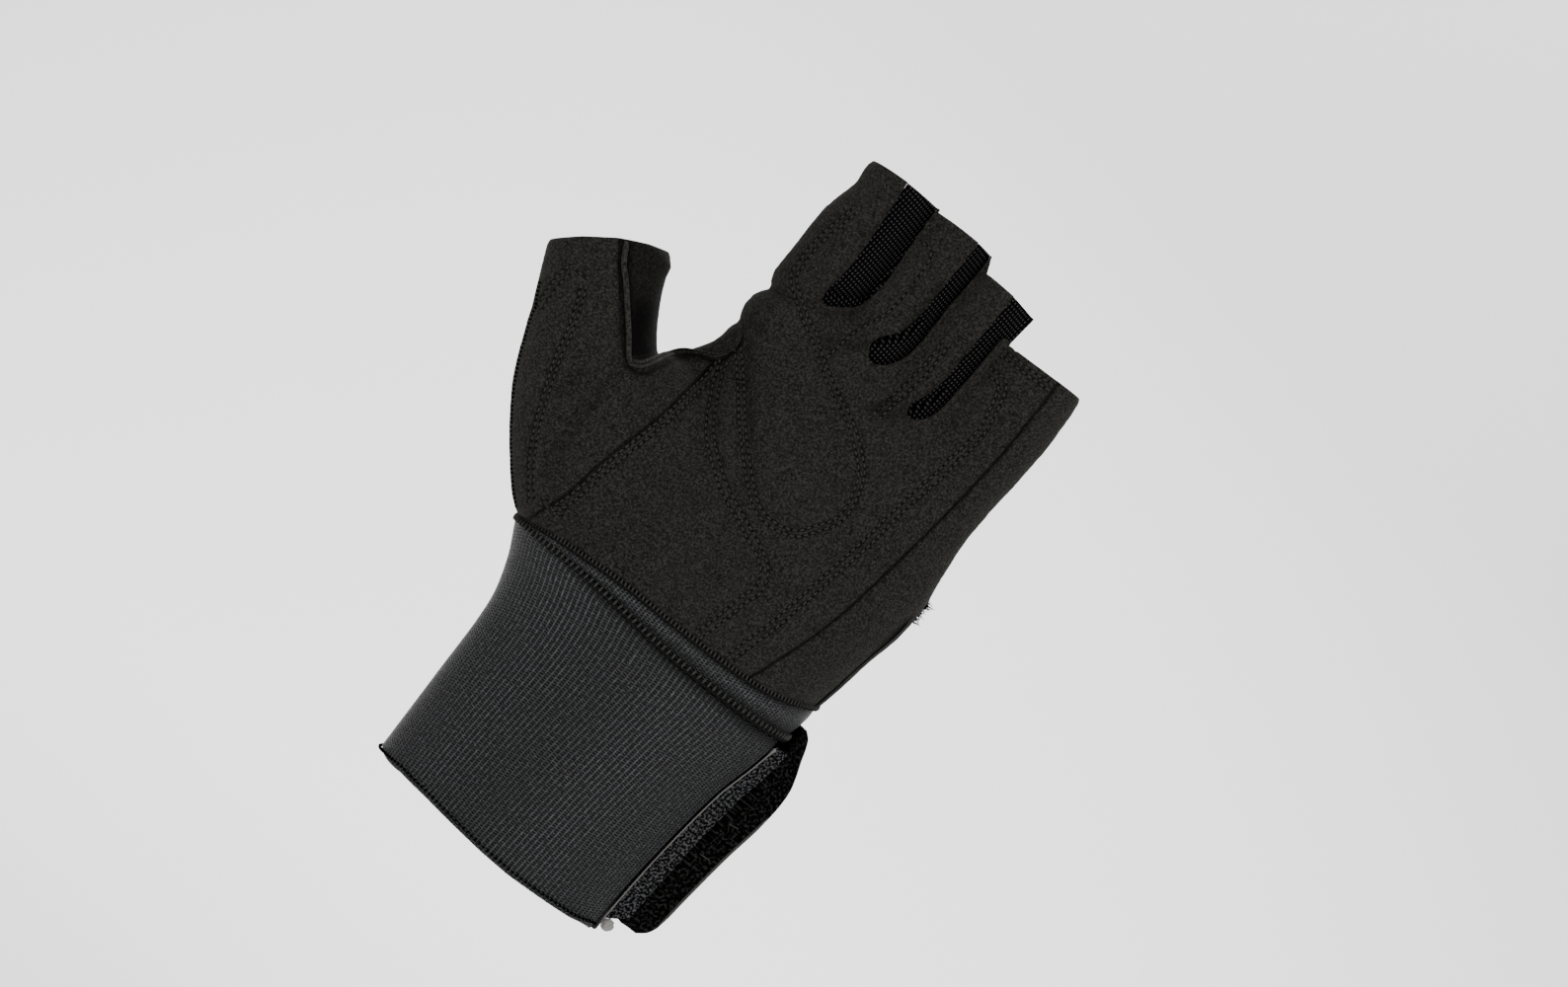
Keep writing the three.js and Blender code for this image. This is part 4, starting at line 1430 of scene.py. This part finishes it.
@cache
def grain_group():
    """Short suede nap: a speckled tone and a height."""
    tree, nodes, given = group_tree(
        "Suede Grain", "ShaderNodeTree",
        [("Vector", VECTOR, None), ("Grain", FLOAT, 0.6)], [("Tone", FLOAT), ("Height", FLOAT)],
    )
    scale = nodes.math("DIVIDE", 1000.0, given["Grain"])
    fine = nodes.noise(given["Vector"], scale, roughness=0.75)
    broad = nodes.noise(given["Vector"], 60.0, roughness=0.6)
    patches = nodes.math("MULTIPLY_ADD", broad, 0.15, -0.13)
    tone = nodes.math("MULTIPLY_ADD", nodes.math("POWER", fine, 3.0), 4.4, patches)
    nodes.add("NodeGroupOutput", {"Tone": tone, "Height": fine})
    return tree


@cache
def knit_group():
    """Rib knit: thin light ridges, and between them columns of short dashes."""
    tree, nodes, given = group_tree(
        "Rib Knit", "ShaderNodeTree",
        [("Vector", VECTOR, None), ("Column", FLOAT, 1.4), ("Stitch", FLOAT, 0.75)],
        [("Height", FLOAT), ("Thread", FLOAT)],
    )
    parts = nodes.add("ShaderNodeSeparateXYZ", {0: given["Vector"]})
    column = nodes.math("DIVIDE", parts.outputs[0], given["Column"])
    row = nodes.math("DIVIDE", parts.outputs[1], given["Stitch"])
    uneven = nodes.noise(given["Vector"], 1.1)
    row = nodes.math("MULTIPLY_ADD", uneven, 0.5, row)
    turn = nodes.math("MULTIPLY", column, 2 * math.pi)
    ridge = nodes.math("POWER", nodes.math("MULTIPLY_ADD", nodes.math("COSINE", turn), 0.5, 0.5), 2.5)
    swell = nodes.math("SINE", nodes.math("MULTIPLY", parts.outputs[0], 2 * math.pi / 38))
    ridge = nodes.math("MULTIPLY", ridge, nodes.math("MULTIPLY_ADD", swell, 0.12, 0.88))
    half_turn = nodes.math("MULTIPLY", nodes.math("FLOOR", column), math.pi)
    beat = nodes.math("SINE", nodes.math("MULTIPLY_ADD", row, 2 * math.pi, half_turn))
    dash = nodes.math("MULTIPLY_ADD", beat, 0.36, 0.38)
    height = nodes.math("MAXIMUM", ridge, dash)
    light = nodes.math("MULTIPLY_ADD", uneven, 2.0, -0.25)
    thread = nodes.math("MULTIPLY", nodes.math("POWER", height, 1.3), nodes.math("MAXIMUM", light, 0.1))
    nodes.add("NodeGroupOutput", {"Height": height, "Thread": thread})
    return tree


@cache
def net_group():
    """Coarse mesh: a knot at every crossing of a square grid, with holes between."""
    tree, nodes, given = group_tree(
        "Coarse Mesh", "ShaderNodeTree",
        [("Vector", VECTOR, None), ("Pitch", FLOAT, 1.18)], [("Height", FLOAT), ("Knot", FLOAT)],
    )
    parts = nodes.add("ShaderNodeSeparateXYZ", {0: given["Vector"]})
    waves = []
    for axis in (0, 1):
        turns = nodes.math("DIVIDE", parts.outputs[axis], given["Pitch"])
        wave = nodes.math("SINE", nodes.math("MULTIPLY", turns, 2 * math.pi))
        waves.append(nodes.math("MULTIPLY_ADD", wave, 0.5, 0.5))
    knot = nodes.math("MULTIPLY", *waves)
    either = nodes.math("MAXIMUM", *waves)
    height = nodes.math("MULTIPLY_ADD", either, 0.35, knot)
    nodes.add("NodeGroupOutput", {"Height": height, "Knot": nodes.math("POWER", knot, 2.2)})
    return tree


def new_material(name, roughness, shine):
    """An empty material with its nodes and its Principled shader."""
    material = bpy.data.materials.new(name)
    material.use_nodes = True
    tree = material.node_tree
    tree.nodes.clear()
    nodes = Nodes(tree)
    shader = nodes.add("ShaderNodeBsdfPrincipled", {"Roughness": roughness, "Specular IOR Level": shine})
    nodes.add("ShaderNodeOutputMaterial", {"Surface": shader.outputs["BSDF"]})
    return material, nodes, shader


def plain_material(name, colour, roughness, shine):
    """A material of one colour."""
    material, _, shader = new_material(name, roughness, shine)
    shader.inputs["Base Color"].default_value = (*colour, 1)
    return material


def dressed(nodes, shader, height, deep, strength, tone, colour, dark, light):
    """Puts a bump and a tone between a dark and a light share of a colour on a shader."""
    bump = nodes.add(
        "ShaderNodeBump", {"Strength": strength, "Distance": deep * MM, "Height": height}
    )
    nodes.put(shader.inputs["Normal"], bump.outputs["Normal"])
    mix = nodes.add("ShaderNodeMix", {"Factor": tone}, data_type="RGBA")
    mix.inputs["A"].default_value = (*scaled_colour(colour, dark), 1)
    mix.inputs["B"].default_value = (*scaled_colour(colour, light), 1)
    nodes.put(shader.inputs["Base Color"], mix.outputs["Result"])


def scaled_colour(colour, amount):
    return [channel * amount for channel in colour]


def colour_of(name):
    """One of the add-on's colours."""
    return getattr(bpy.context.scene.glove_colours, name)


@cache
def suede_material(name="suede", amount=1.0):
    """Black suede with a fine speckled nap and painted shade where its shade attribute says; an amount
    below 1 makes a darker copy for painted shade, above 1 a lighter one for a painted highlight.
    """
    material, nodes, shader = new_material(name, 0.95, 0.05)
    grain = nodes.group(grain_group(), nodes.add("ShaderNodeTexCoord").outputs["Object"])
    colour = scaled_colour(colour_of("suede"), amount)
    dressed(nodes, shader, grain["Height"], 0.3, 1.0, nodes.unshaded(grain["Tone"]), colour, 0.02, 2.1)
    shader.inputs["Sheen Weight"].default_value = 0.16 * amount
    shader.inputs["Sheen Roughness"].default_value = 0.5
    shader.inputs["Sheen Tint"].default_value = (*scaled_colour(colour_of("suede"), 14), 1)
    return material


@cache
def knit_material(name="knit", column=1.4, light=4.2, sharp=1.5):
    """Elastic rib knit, with painted shade where its shade attribute says."""
    material, nodes, shader = new_material(name, 0.5, 0.1)
    ribs = nodes.group(knit_group(), nodes.uv(), Column=column)
    tone = nodes.unshaded(nodes.math("POWER", ribs["Thread"], sharp))
    dressed(nodes, shader, ribs["Height"], 0.5, 1.0, tone, colour_of("knit"), 0.06, light)
    return material


@cache
def stretch_material():
    """Smooth stretch jersey for the back."""
    material, nodes, shader = new_material("stretch", 0.7, 0.3)
    place = nodes.add("ShaderNodeTexCoord").outputs["Object"]
    inputs = {"Vector": place, "Scale": 420.0, "Distortion": 1.5, "Detail": 2.0}
    weave = nodes.add("ShaderNodeTexWave", inputs).outputs["Fac"]
    dressed(nodes, shader, weave, 0.08, 0.5, weave, colour_of("stretch"), 0.8, 1.2)
    return material


@cache
def mesh_material():
    """Coarse open mesh between the stalls."""
    material, nodes, shader = new_material("mesh", 0.6, 0.02)
    grid = nodes.group(net_group(), nodes.uv())
    dressed(nodes, shader, grid["Height"], 0.5, 1.0, grid["Knot"], colour_of("mesh"), 0.02, 6.5)
    return material


@cache
def speckle_group():
    """Light loops or hooks that stand close together over a dark ground."""
    tree, nodes, given = group_tree(
        "Speckle", "ShaderNodeTree",
        [("Vector", VECTOR, None), ("Size", FLOAT, 0.8), ("Cut", FLOAT, 0.5)],
        [("Speck", FLOAT), ("Height", FLOAT)],
    )
    scale = nodes.math("DIVIDE", 1.0, given["Size"])
    field = nodes.noise(given["Vector"], scale, 1.0)
    above = nodes.math("SUBTRACT", field, given["Cut"])
    speck = nodes.add("ShaderNodeClamp", {"Value": nodes.math("MULTIPLY", above, 7.0)})
    nodes.add("NodeGroupOutput", {"Speck": speck.outputs[0], "Height": field})
    return tree


@cache
def speckled_material(name, size, cut_at, dark, light):
    """Hooks or pile: light specks over a dark ground."""
    material, nodes, shader = new_material(name, 0.95, 0.01)
    specks = nodes.group(speckle_group(), nodes.uv(), Size=size, Cut=cut_at)
    dressed(nodes, shader, specks["Height"], 0.6, 1.0, specks["Speck"], colour_of(name), dark, light)
    return material


@cache
def thread_material(name="thread", amount=1.0, shine=0.15):
    """A plain colour scaled from the thread's: sewing thread, fibres, fluff, and the dark cords that
    paint shadow in the seams and the little-finger side's fold.
    """
    return plain_material(name, scaled_colour(colour_of("thread"), amount), 0.8, shine)


# Stitches


@cache
def stitch_group():
    """Stitches along lines: one small thread at every pitch, turned along the line."""
    tree, nodes, given = group_tree(
        "Stitches", "GeometryNodeTree",
        [
            ("Geometry", "NodeSocketGeometry", None), ("Material", "NodeSocketMaterial", None),
            ("Length", FLOAT, 0.002), ("Pitch", FLOAT, 0.0027),
            ("Thickness", FLOAT, 0.0005), ("Slant", FLOAT, 0.0),
        ],
        [("Geometry", "NodeSocketGeometry")],
    )
    curve = nodes.add("GeometryNodeMeshToCurve", {"Mesh": given["Geometry"]})
    points = nodes.add(
        "GeometryNodeResampleCurve", {"Curve": curve.outputs[0], "Length": given["Pitch"]}, mode="LENGTH"
    )
    ball = nodes.add("GeometryNodeMeshUVSphere", {"Segments": 8, "Rings": 6, "Radius": 0.5})
    size = nodes.add(
        "ShaderNodeCombineXYZ", {0: given["Length"], 1: given["Thickness"], 2: given["Thickness"]}
    )
    scaled = {"Geometry": ball.outputs["Mesh"], "Scale": size.outputs[0]}
    thread = nodes.add("GeometryNodeTransform", scaled)
    soft = nodes.add("GeometryNodeSetShadeSmooth", {"Geometry": thread.outputs[0]})
    out = nodes.add("GeometryNodeInputNamedAttribute", {"Name": "out"}, data_type="FLOAT_VECTOR")
    along = nodes.add("GeometryNodeInputTangent")
    upright = nodes.add(
        "FunctionNodeAlignRotationToVector", {"Vector": out.outputs["Attribute"]}, axis="Z"
    )
    turned = nodes.add(
        "FunctionNodeAlignRotationToVector",
        {"Rotation": upright.outputs[0], "Vector": along.outputs[0]}, axis="X", pivot_axis="Z",
    )
    wobble = nodes.add(
        "FunctionNodeRandomValue", {2: -0.12, 3: 0.12, "Seed": 7}, data_type="FLOAT"
    )
    angle = nodes.math("ADD", given["Slant"], wobble.outputs[1])
    spin = nodes.add("FunctionNodeAxisAngleToRotation", {"Axis": (0, 0, 1), "Angle": angle})
    slanted = nodes.add(
        "FunctionNodeRotateRotation", {0: turned.outputs[0], 1: spin.outputs[0]}, rotation_space="LOCAL"
    )
    placed = nodes.add(
        "GeometryNodeInstanceOnPoints",
        {"Points": points.outputs[0], "Instance": soft.outputs[0], "Rotation": slanted.outputs[0]},
    )
    real = nodes.add("GeometryNodeRealizeInstances", {"Geometry": placed.outputs[0]})
    dyed = {"Geometry": real.outputs[0], "Material": given["Material"]}
    finished = nodes.add("GeometryNodeSetMaterial", dyed)
    nodes.add("NodeGroupOutput", {"Geometry": finished.outputs[0]})
    return tree


def stitched(name, lines, sizes, slant, material):
    """Stitches of a length, pitch and thickness along lines; each line is its points and the ways out."""
    points = np.concatenate([line for line, _ in lines])
    ways = np.concatenate([out for _, out in lines])
    edges, start = [], 0
    for line, _ in lines:
        edges += [(start + i, start + i + 1) for i in range(len(line) - 1)]
        start += len(line)
    mesh = bpy.data.meshes.new(name)
    mesh.from_pydata((points * MM).tolist(), edges, [])
    mesh.attributes.new("out", "FLOAT_VECTOR", "POINT").data.foreach_set("vector", ways.ravel())
    piece = new_object(name, mesh)
    modifier = add_modifier(piece, "stitches", "NODES", node_group=stitch_group())
    values = {"Slant": math.radians(slant), "Material": material}
    values |= {label: size * MM for label, size in zip(("Length", "Pitch", "Thickness"), sizes)}
    for item in modifier.node_group.interface.items_tree:
        if item.in_out == "INPUT" and item.name in values:
            modifier[item.identifier] = values[item.name]
    baked(piece).data.materials.clear()
    piece.data.polygons.foreach_set("material_index", [0] * len(piece.data.polygons))
    add_piece(piece, material)


def add_piece(piece, material, angle=None):
    """Gives a sewn-on piece its material, shades it softly where an angle is given and lets it ride the
    glove.
    """
    piece.data.materials.append(material)
    if angle:
        shade_softly(piece, angle)
    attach(piece, BODY)


def first_seen(x, z):
    """The place on the skin that the camera sees at (x, z) of the plane y = 0, and the way out there."""
    aim = (np.array([x, 0, z]) - EYE) * MM
    return skin().ray_cast(Vector(EYE) * MM, Vector(aim).normalized())[:2]


def on_front(line, lift=0.0):
    """A line seen from the front laid on the relief of the skin."""
    points, ways = [], []
    for x, z in line:
        place, way = first_seen(x, z)
        if place is not None:
            points.append(np.array(place) / MM)
            ways.append(way)
    points, ways = np.array(points), smoothed(np.array(ways), 4)
    height, _ = relief(points)
    return points + ways * (height + lift)[:, None], ways


def round_wrist(edge, shift, lift, start=90, end=450):
    """A line round the wrist at a distance over one of its edges, and the ways out."""
    angles = np.radians(np.linspace(start, end, 721))
    places = place_at(edge, angles) + shift / CUFF_HEIGHT
    points = on_wrist(places, angles, -lift)
    return points, unit(points - on_wrist(places, angles, 3.0))


def along_outline(heights, start, step, inset):
    """Points a little inside the outline seen from the front, on rows from one side."""
    line = []
    for z in heights:
        for x in start + step * np.arange(0, 260):
            if first_seen(x, z)[0] is not None:
                line.append((x + math.copysign(inset, step), z))
                break
    return smoothed(np.array(line), 3)


def thumb_edge():
    """The seam down the outer side of the thumb, and the ways out."""
    line = along_outline(np.arange(124.0, 73, -1.0), -90, 0.2, 0.75)
    return on_front(resampled(smooth_line(line, 0.5), 0.5), 0.25)


def fibres(name, roots, ways, length, thickness, spread, seed):
    """Short bent fibres that stand on roots."""
    pick = np.random.default_rng(seed)
    points, faces = [], []
    for root, way in zip(roots, ways):
        way = unit(way + pick.normal(0, spread, 3))
        bend = pick.normal(0, 0.35, 3)
        reach = length * pick.uniform(0.5, 1.2)
        side = unit(np.cross(way, [0.3, 0.2, 1.0]))
        other = np.cross(way, side)
        start = len(points)
        for step in range(4):
            share = step / 3
            centre = root + reach * (way * share + bend * share**2)
            width = thickness / 2 * (1 - 0.7 * share)
            for turn in (0, 2.09, 4.19):
                points.append(centre + width * (side * math.cos(turn) + other * math.sin(turn)))
        for step in range(3):
            for k in range(3):
                a, b = start + step * 3 + k, start + step * 3 + (k + 1) % 3
                faces.append((a, b, b + 3, a + 3))
        faces += [(start + 2, start + 1, start), (start + 9, start + 10, start + 11)]
    piece = as_object(name, points, faces)
    fix_normals(piece)
    return piece


def tape_edge():
    """The pale selvedge down the tape's inner edge, thicker at its foot."""
    places = BAND_TOP * np.linspace(TAPE_ENDS[0] + 0.001, TAPE_ENDS[1] - 0.005, 120)
    path = tape_start(places) + np.array([-0.15, -0.1, 0])
    foot = path[0] + [(1.5, 0.3, -2.6), (0.85, 0.1, -2.1), (0.35, 0.0, -1.4), (0.1, 0, -0.7)]
    path = resampled(smooth_line(np.vstack([foot, path]), 0.5), 0.5)
    ways = np.tile(unit(np.array([0.3, -1.0, 0.0])), (len(path), 1))
    size = 0.9 + 1.7 * bell(path[:, 2] - path[:, 2].max(), 2.0)
    return swept("tape_edge", path, ways, oval_profile(0.24, 0.24, 40), size, taper=0.8)


def tape_fluff():
    """The pale tuft of worn loops at the tape's foot."""
    middle = tape_start(BAND_TOP * np.array([TAPE_ENDS[0]]))[0] + np.array([1.7, 0.2, -0.9])
    bm = bmesh.new()
    bmesh.ops.create_icosphere(bm, subdivisions=5, radius=1.0)
    for vertex in bm.verts:
        way = np.array(vertex.co)
        lumps = 1 + 0.16 * noise.noise(Vector(way * 2.2)) + 0.1 * noise.noise(Vector(way * 9))
        vertex.co = (middle + way * np.array([1.75, 1.0, 1.7]) * lumps) * MM
    mesh = bpy.data.meshes.new("tape_fluff")
    bm.to_mesh(mesh)
    bm.free()
    return new_object("tape_fluff", mesh)


def stray_threads():
    """Two loose threads across the tab."""
    parts = []
    for x, z, reach, tilt in ((45.0, 41.8, 5.2, 0.16), (44.6, 31.2, 4.8, 0.06)):
        t = np.linspace(0, 1, 14)
        fronts = [tab_front(x + reach * share, z / CUFF_HEIGHT) for share in t]
        depth = np.array(fronts) - 0.12 - 0.3 * np.sin(3 * t)
        path = np.stack([x + reach * t, depth, z + tilt * reach * t], axis=-1)
        ways = np.tile(np.array([0.0, -1.0, 0.0]), (14, 1))
        parts.append(swept("stray", path, ways, oval_profile(0.13, 0.13, 60), np.ones(14), taper=1.0))
    return joined_meshes("stray_threads", parts)


def tab_lip():
    """The turned lip down the tab's outer edge."""
    shares = np.linspace(0.08, 0.68, 90)
    path = []
    for v in shares:
        place = (TAB_FOOT + v * TAB_HEIGHT) / CUFF_HEIGHT
        oval = trunk_section(place)
        x = oval["at"][0] + oval["half"] + TAB_WIDTH * between(TAB_EDGE, v)[1] - 0.35
        z = ring(oval, np.array([0.0]))[0][2]
        path.append((x, tab_front(x, z / CUFF_HEIGHT) + 0.25, z))
    ways = np.tile(np.array([0.0, -1.0, 0.0]), (len(path), 1))
    profile = oval_profile(0.42, 0.3, 40)
    return swept("tab_lip", np.array(path), ways, profile, np.ones(len(path)), taper=6.0)


def joined_meshes(name, parts):
    """Several bodies as one mesh."""
    points, faces = [], []
    for part in parts:
        start = sum(len(p) for p in points)
        points.append(points_of(part))
        faces += [tuple(i + start for i in p.vertices) for p in part.data.polygons]
        discard(part)
    return as_object(name, np.concatenate(points), faces)


# The add-on


def size_property(name, description, default):
    return FloatProperty(name=name, description=description, default=default, unit="LENGTH")


class GloveSizes(bpy.types.PropertyGroup):
    """Sizes of the finish in metres."""

    stitch_length: size_property("Stitch Length", "Length of a topstitch", 0.0013)
    stitch_pitch: size_property("Stitch Pitch", "From one topstitch to the next", 0.00185)
    thread: size_property("Thread", "Thickness of the sewing thread", 0.0005)


def colour_property(name, description, default):
    return FloatVectorProperty(name=name, description=description, default=default, subtype="COLOR")


class GloveColours(bpy.types.PropertyGroup):
    """Colours of the cloths."""

    suede: colour_property("Suede", "Palm and thumb", (0.0082, 0.0079, 0.0070))
    knit: colour_property("Knit", "Wrist band", (0.0125, 0.0127, 0.0132))
    stretch: colour_property("Stretch", "Back of the hand", (0.0120, 0.0120, 0.0125))
    mesh: colour_property("Mesh", "Between the fingers", (0.0070, 0.0070, 0.0070))
    thread: colour_property("Thread", "Stitches", (0.0170, 0.0166, 0.0154))
    hooks: colour_property("Hooks", "Hook tape", (0.012, 0.012, 0.0125))
    pile: colour_property("Pile", "Loop side of the tab", (0.0019, 0.0019, 0.0018))


class GLOVE_OT_panels(bpy.types.Operator):
    """Builds the panels of the hand: suede, stretch and mesh"""

    bl_idname = "glove.panels"
    bl_label = "Panels"

    def execute(self, context):
        for name, piece in panels().items():
            raise_relief(name, piece)
            if name.startswith("fourchette"):
                cloth_map(piece)
                settle(piece, name, mesh_material())
            elif name == "back_panel":
                settle(piece, name, stretch_material())
            elif name == "thumb_gusset":
                # A darker copy of the suede over the gusset: painted shade of the hollow between thumb
                # and palm
                settle(piece, name, suede_material("suede_inner", 0.45))
            else:
                settle(piece, name, suede_material())
            shade_softly(piece)
        return {"FINISHED"}


class GLOVE_OT_bindings(bpy.types.Operator):
    """Builds the raised seams down the thumb and round the web"""

    bl_idname = "glove.bindings"
    bl_label = "Bindings"

    def execute(self, context):
        for make in (thumb_ridge, web_binding):
            # A lighter copy of the suede on the raised lips: a painted highlight
            piece = settle(make(), make.__name__, suede_material("suede_lip", 1.35))
            shade_softly(piece, 60)
        # A dark cord as the painted shadow in the little-finger side's fold
        add_piece(side_fold(), thread_material("fold_thread", 0.16, 0.0), 60)
        return {"FINISHED"}


class GLOVE_OT_cuff(bpy.types.Operator):
    """Builds the wrist band, the strip over it and the closure's two ends"""

    bl_idname = "glove.cuff"
    bl_label = "Cuff"

    def execute(self, context):
        finishes = (
            (wrist_band, knit_material(), "knit"),
            (seam_strip, knit_material("knit_strip", 1.1, 8.0), "knit"),
            (hook_tape, speckled_material("hooks", 0.75, 0.48, 0.12, 3.2), "hooks"),
            (loop_tab, speckled_material("pile", 0.9, 0.5, 0.2, 5.0), "pile"),
        )
        for make, material, slot in finishes:
            piece = settle(make(), make.__name__, material)
            shade_softly(piece, 60)
        pale, grey = thread_material("pale_thread", 5.0), thread_material("grey_thread", 1.6)
        add_piece(tape_edge(), pale, 60)
        add_piece(stray_threads(), grey, 60)
        add_piece(tab_lip(), grey, 60)
        pick = np.random.default_rng(5)
        heights = pick.uniform(113.5, 121, 90)
        roots = np.stack([np.full(90, 60.0), pick.uniform(-6, 1, 90), heights], axis=-1)
        places, ways, _ = nearest_skin(roots)
        tuft = fibres("frayed_tuft", places, ways, 2.0, 0.34, 0.6, 11)
        add_piece(tuft, thread_material("dark_thread", 0.06, 0.0))
        add_piece(tape_fluff(), thread_material("fluff", 8.0), 80)
        return {"FINISHED"}


class GLOVE_OT_stitching(bpy.types.Operator):
    """Lays the rows of stitches on the seams"""

    bl_idname = "glove.stitching"
    bl_label = "Stitching"

    def execute(self, context):
        sizes = context.scene.glove_sizes
        stitch = [size / MM for size in (sizes.stitch_length, sizes.stitch_pitch, sizes.thread)]
        rows = [on_front(row, 0.05) for row in stitch_rows()]
        stitched("topstitches", rows, stitch, 0, thread_material())
        dark, pale = thread_material("dark_thread", 0.06, 0.0), thread_material("pale_yarn", 0.85)
        # Dark cords in the seams round the wrist: painted shadow in the seams' grooves
        seam_shadow = thread_material("groove_thread", 0.3, 0.0)
        cuff, edge = round_wrist(BAND_EDGE, 0.0, 0.0), round_wrist(SUEDE_EDGE, -0.5, 0.0)
        for name, line, size in (("cuff_seam", cuff, 1.0), ("palm_edge_seam", edge, 0.9)):
            piece = swept(name, *line, oval_profile(0.5, 0.4, 45), np.full(len(line[0]), size))
            add_piece(piece, seam_shadow, 60)
        hem = round_wrist(FOOT_EDGE, 1.5, 0.3, BAND_END + 2, BAND_START[0] - 1)
        knots, edge = round_wrist(BAND_EDGE, 0.75, 0.25), round_wrist(SUEDE_EDGE, 0.05, 0.25)
        stitched("cuff_knots", [knots], (1.9, 1.69, 0.7), 84, pale)
        stitched("palm_edge_stitches", [edge], (1.5, 1.17, 0.5), 96, pale)
        stitched("foot_stitches", [hem], (0.75, 1.42, 0.9), 0, dark)
        stitched("thumb_edge_stitches", [thumb_edge()], (1.1, 1.1, 0.7), 90, dark)
        return {"FINISHED"}


FLOOR_Z = -160.0
# How far the floor reaches, where it bends up into the backdrop, the bend's radius and the top
FLOOR_REACH, BEND_AT, BEND, BACKDROP_TOP = 9000, 1200, 900, 5000
# The soft lights: name, size, power, place and what it's turned towards, in metres
LIGHTS = [
    ("key", 1.0, 31, (0.5, -1.3, 1.2), (0, 0, 0.1)),
    ("left", 1.2, 30, (-1.5, -0.9, 0.5), (0, 0, 0.1)),
    ("right", 1.2, 31, (1.5, -0.7, 0.1), (0, 0, 0.1)),
    ("back", 1.2, 34, (0.2, 1.3, 1.3), (0, 0, 0.1)),
    ("backdrop", 1.4, 80, (0, 0.9, 2.4), (0, 2.1, 0.6)),
]


def new_light(name, size, power, place, aim):
    """A soft square light at a place in metres, turned towards another."""
    data = bpy.data.lights.new(name, "AREA")
    data.size = size
    data.energy = power
    light = new_object(name, data)
    light.location = place
    light.rotation_euler = (Vector(aim) - Vector(place)).to_track_quat("-Z", "Y").to_euler()


class GLOVE_OT_stage(bpy.types.Operator):
    """Sets the pale floor, the soft lights and the camera"""

    bl_idname = "glove.stage"
    bl_label = "Stage"

    def execute(self, context):
        scene = context.scene
        sweep = [(-FLOOR_REACH, FLOOR_Z), (BEND_AT, FLOOR_Z)]
        for a in np.radians(np.linspace(0, 90, 17))[1:]:
            sweep.append((BEND_AT + BEND * math.sin(a), FLOOR_Z + BEND * (1 - math.cos(a))))
        sweep.append((BEND_AT + BEND, BACKDROP_TOP))
        points = [(x, y, z) for x in (-FLOOR_REACH, FLOOR_REACH) for y, z in sweep]
        count = len(sweep)
        faces = [(i, i + count, i + count + 1, i + 1) for i in range(count - 1)]
        floor = as_object("floor", points, faces)
        shade_softly(floor)
        floor.data.materials.append(plain_material("paper", (0.8, 0.8, 0.8), 0.9, 0.5))
        for light in LIGHTS:
            new_light(*light)
        world = bpy.data.worlds.new("studio")
        world.use_nodes = True
        sky = world.node_tree.nodes["Background"].inputs
        sky["Color"].default_value = (0.9, 0.92, 0.95, 1)
        sky["Strength"].default_value = 0.28
        scene.world = world
        data = bpy.data.cameras.new("camera")
        data.lens, data.sensor_width = 85, 36
        data.clip_start, data.clip_end = 0.01, 50
        camera = new_object("camera", data)
        turn = Matrix(((0.788, -0.6157, 0), (0, 0, -1), (0.6157, 0.788, 0)))
        camera.matrix_world = Matrix.Translation(tuple(EYE * MM)) @ turn.to_4x4()
        scene.camera = camera
        return {"FINISHED"}


class GLOVE_PT_sidebar(bpy.types.Panel):
    bl_label = "Weightlifting Glove"
    bl_idname = "GLOVE_PT_sidebar"
    bl_space_type = "VIEW_3D"
    bl_region_type = "UI"
    bl_category = "Glove"

    def draw(self, context):
        for operator in OPERATORS:
            self.layout.operator(operator.bl_idname)


OPERATORS = (
    GLOVE_OT_panels, GLOVE_OT_bindings, GLOVE_OT_cuff, GLOVE_OT_stitching, GLOVE_OT_stage,
)
CLASSES = (GloveSizes, GloveColours, *OPERATORS, GLOVE_PT_sidebar)


def register():
    for entry in CLASSES:
        bpy.utils.register_class(entry)
    bpy.types.Scene.glove_sizes = PointerProperty(type=GloveSizes)
    bpy.types.Scene.glove_colours = PointerProperty(type=GloveColours)


def unregister():
    del bpy.types.Scene.glove_colours
    del bpy.types.Scene.glove_sizes
    for entry in reversed(CLASSES):
        bpy.utils.unregister_class(entry)


def main():
    register()
    for step in ("panels", "bindings", "cuff", "stitching", "stage"):
        getattr(bpy.ops.glove, step)()


if __name__ == "__main__":
    main()
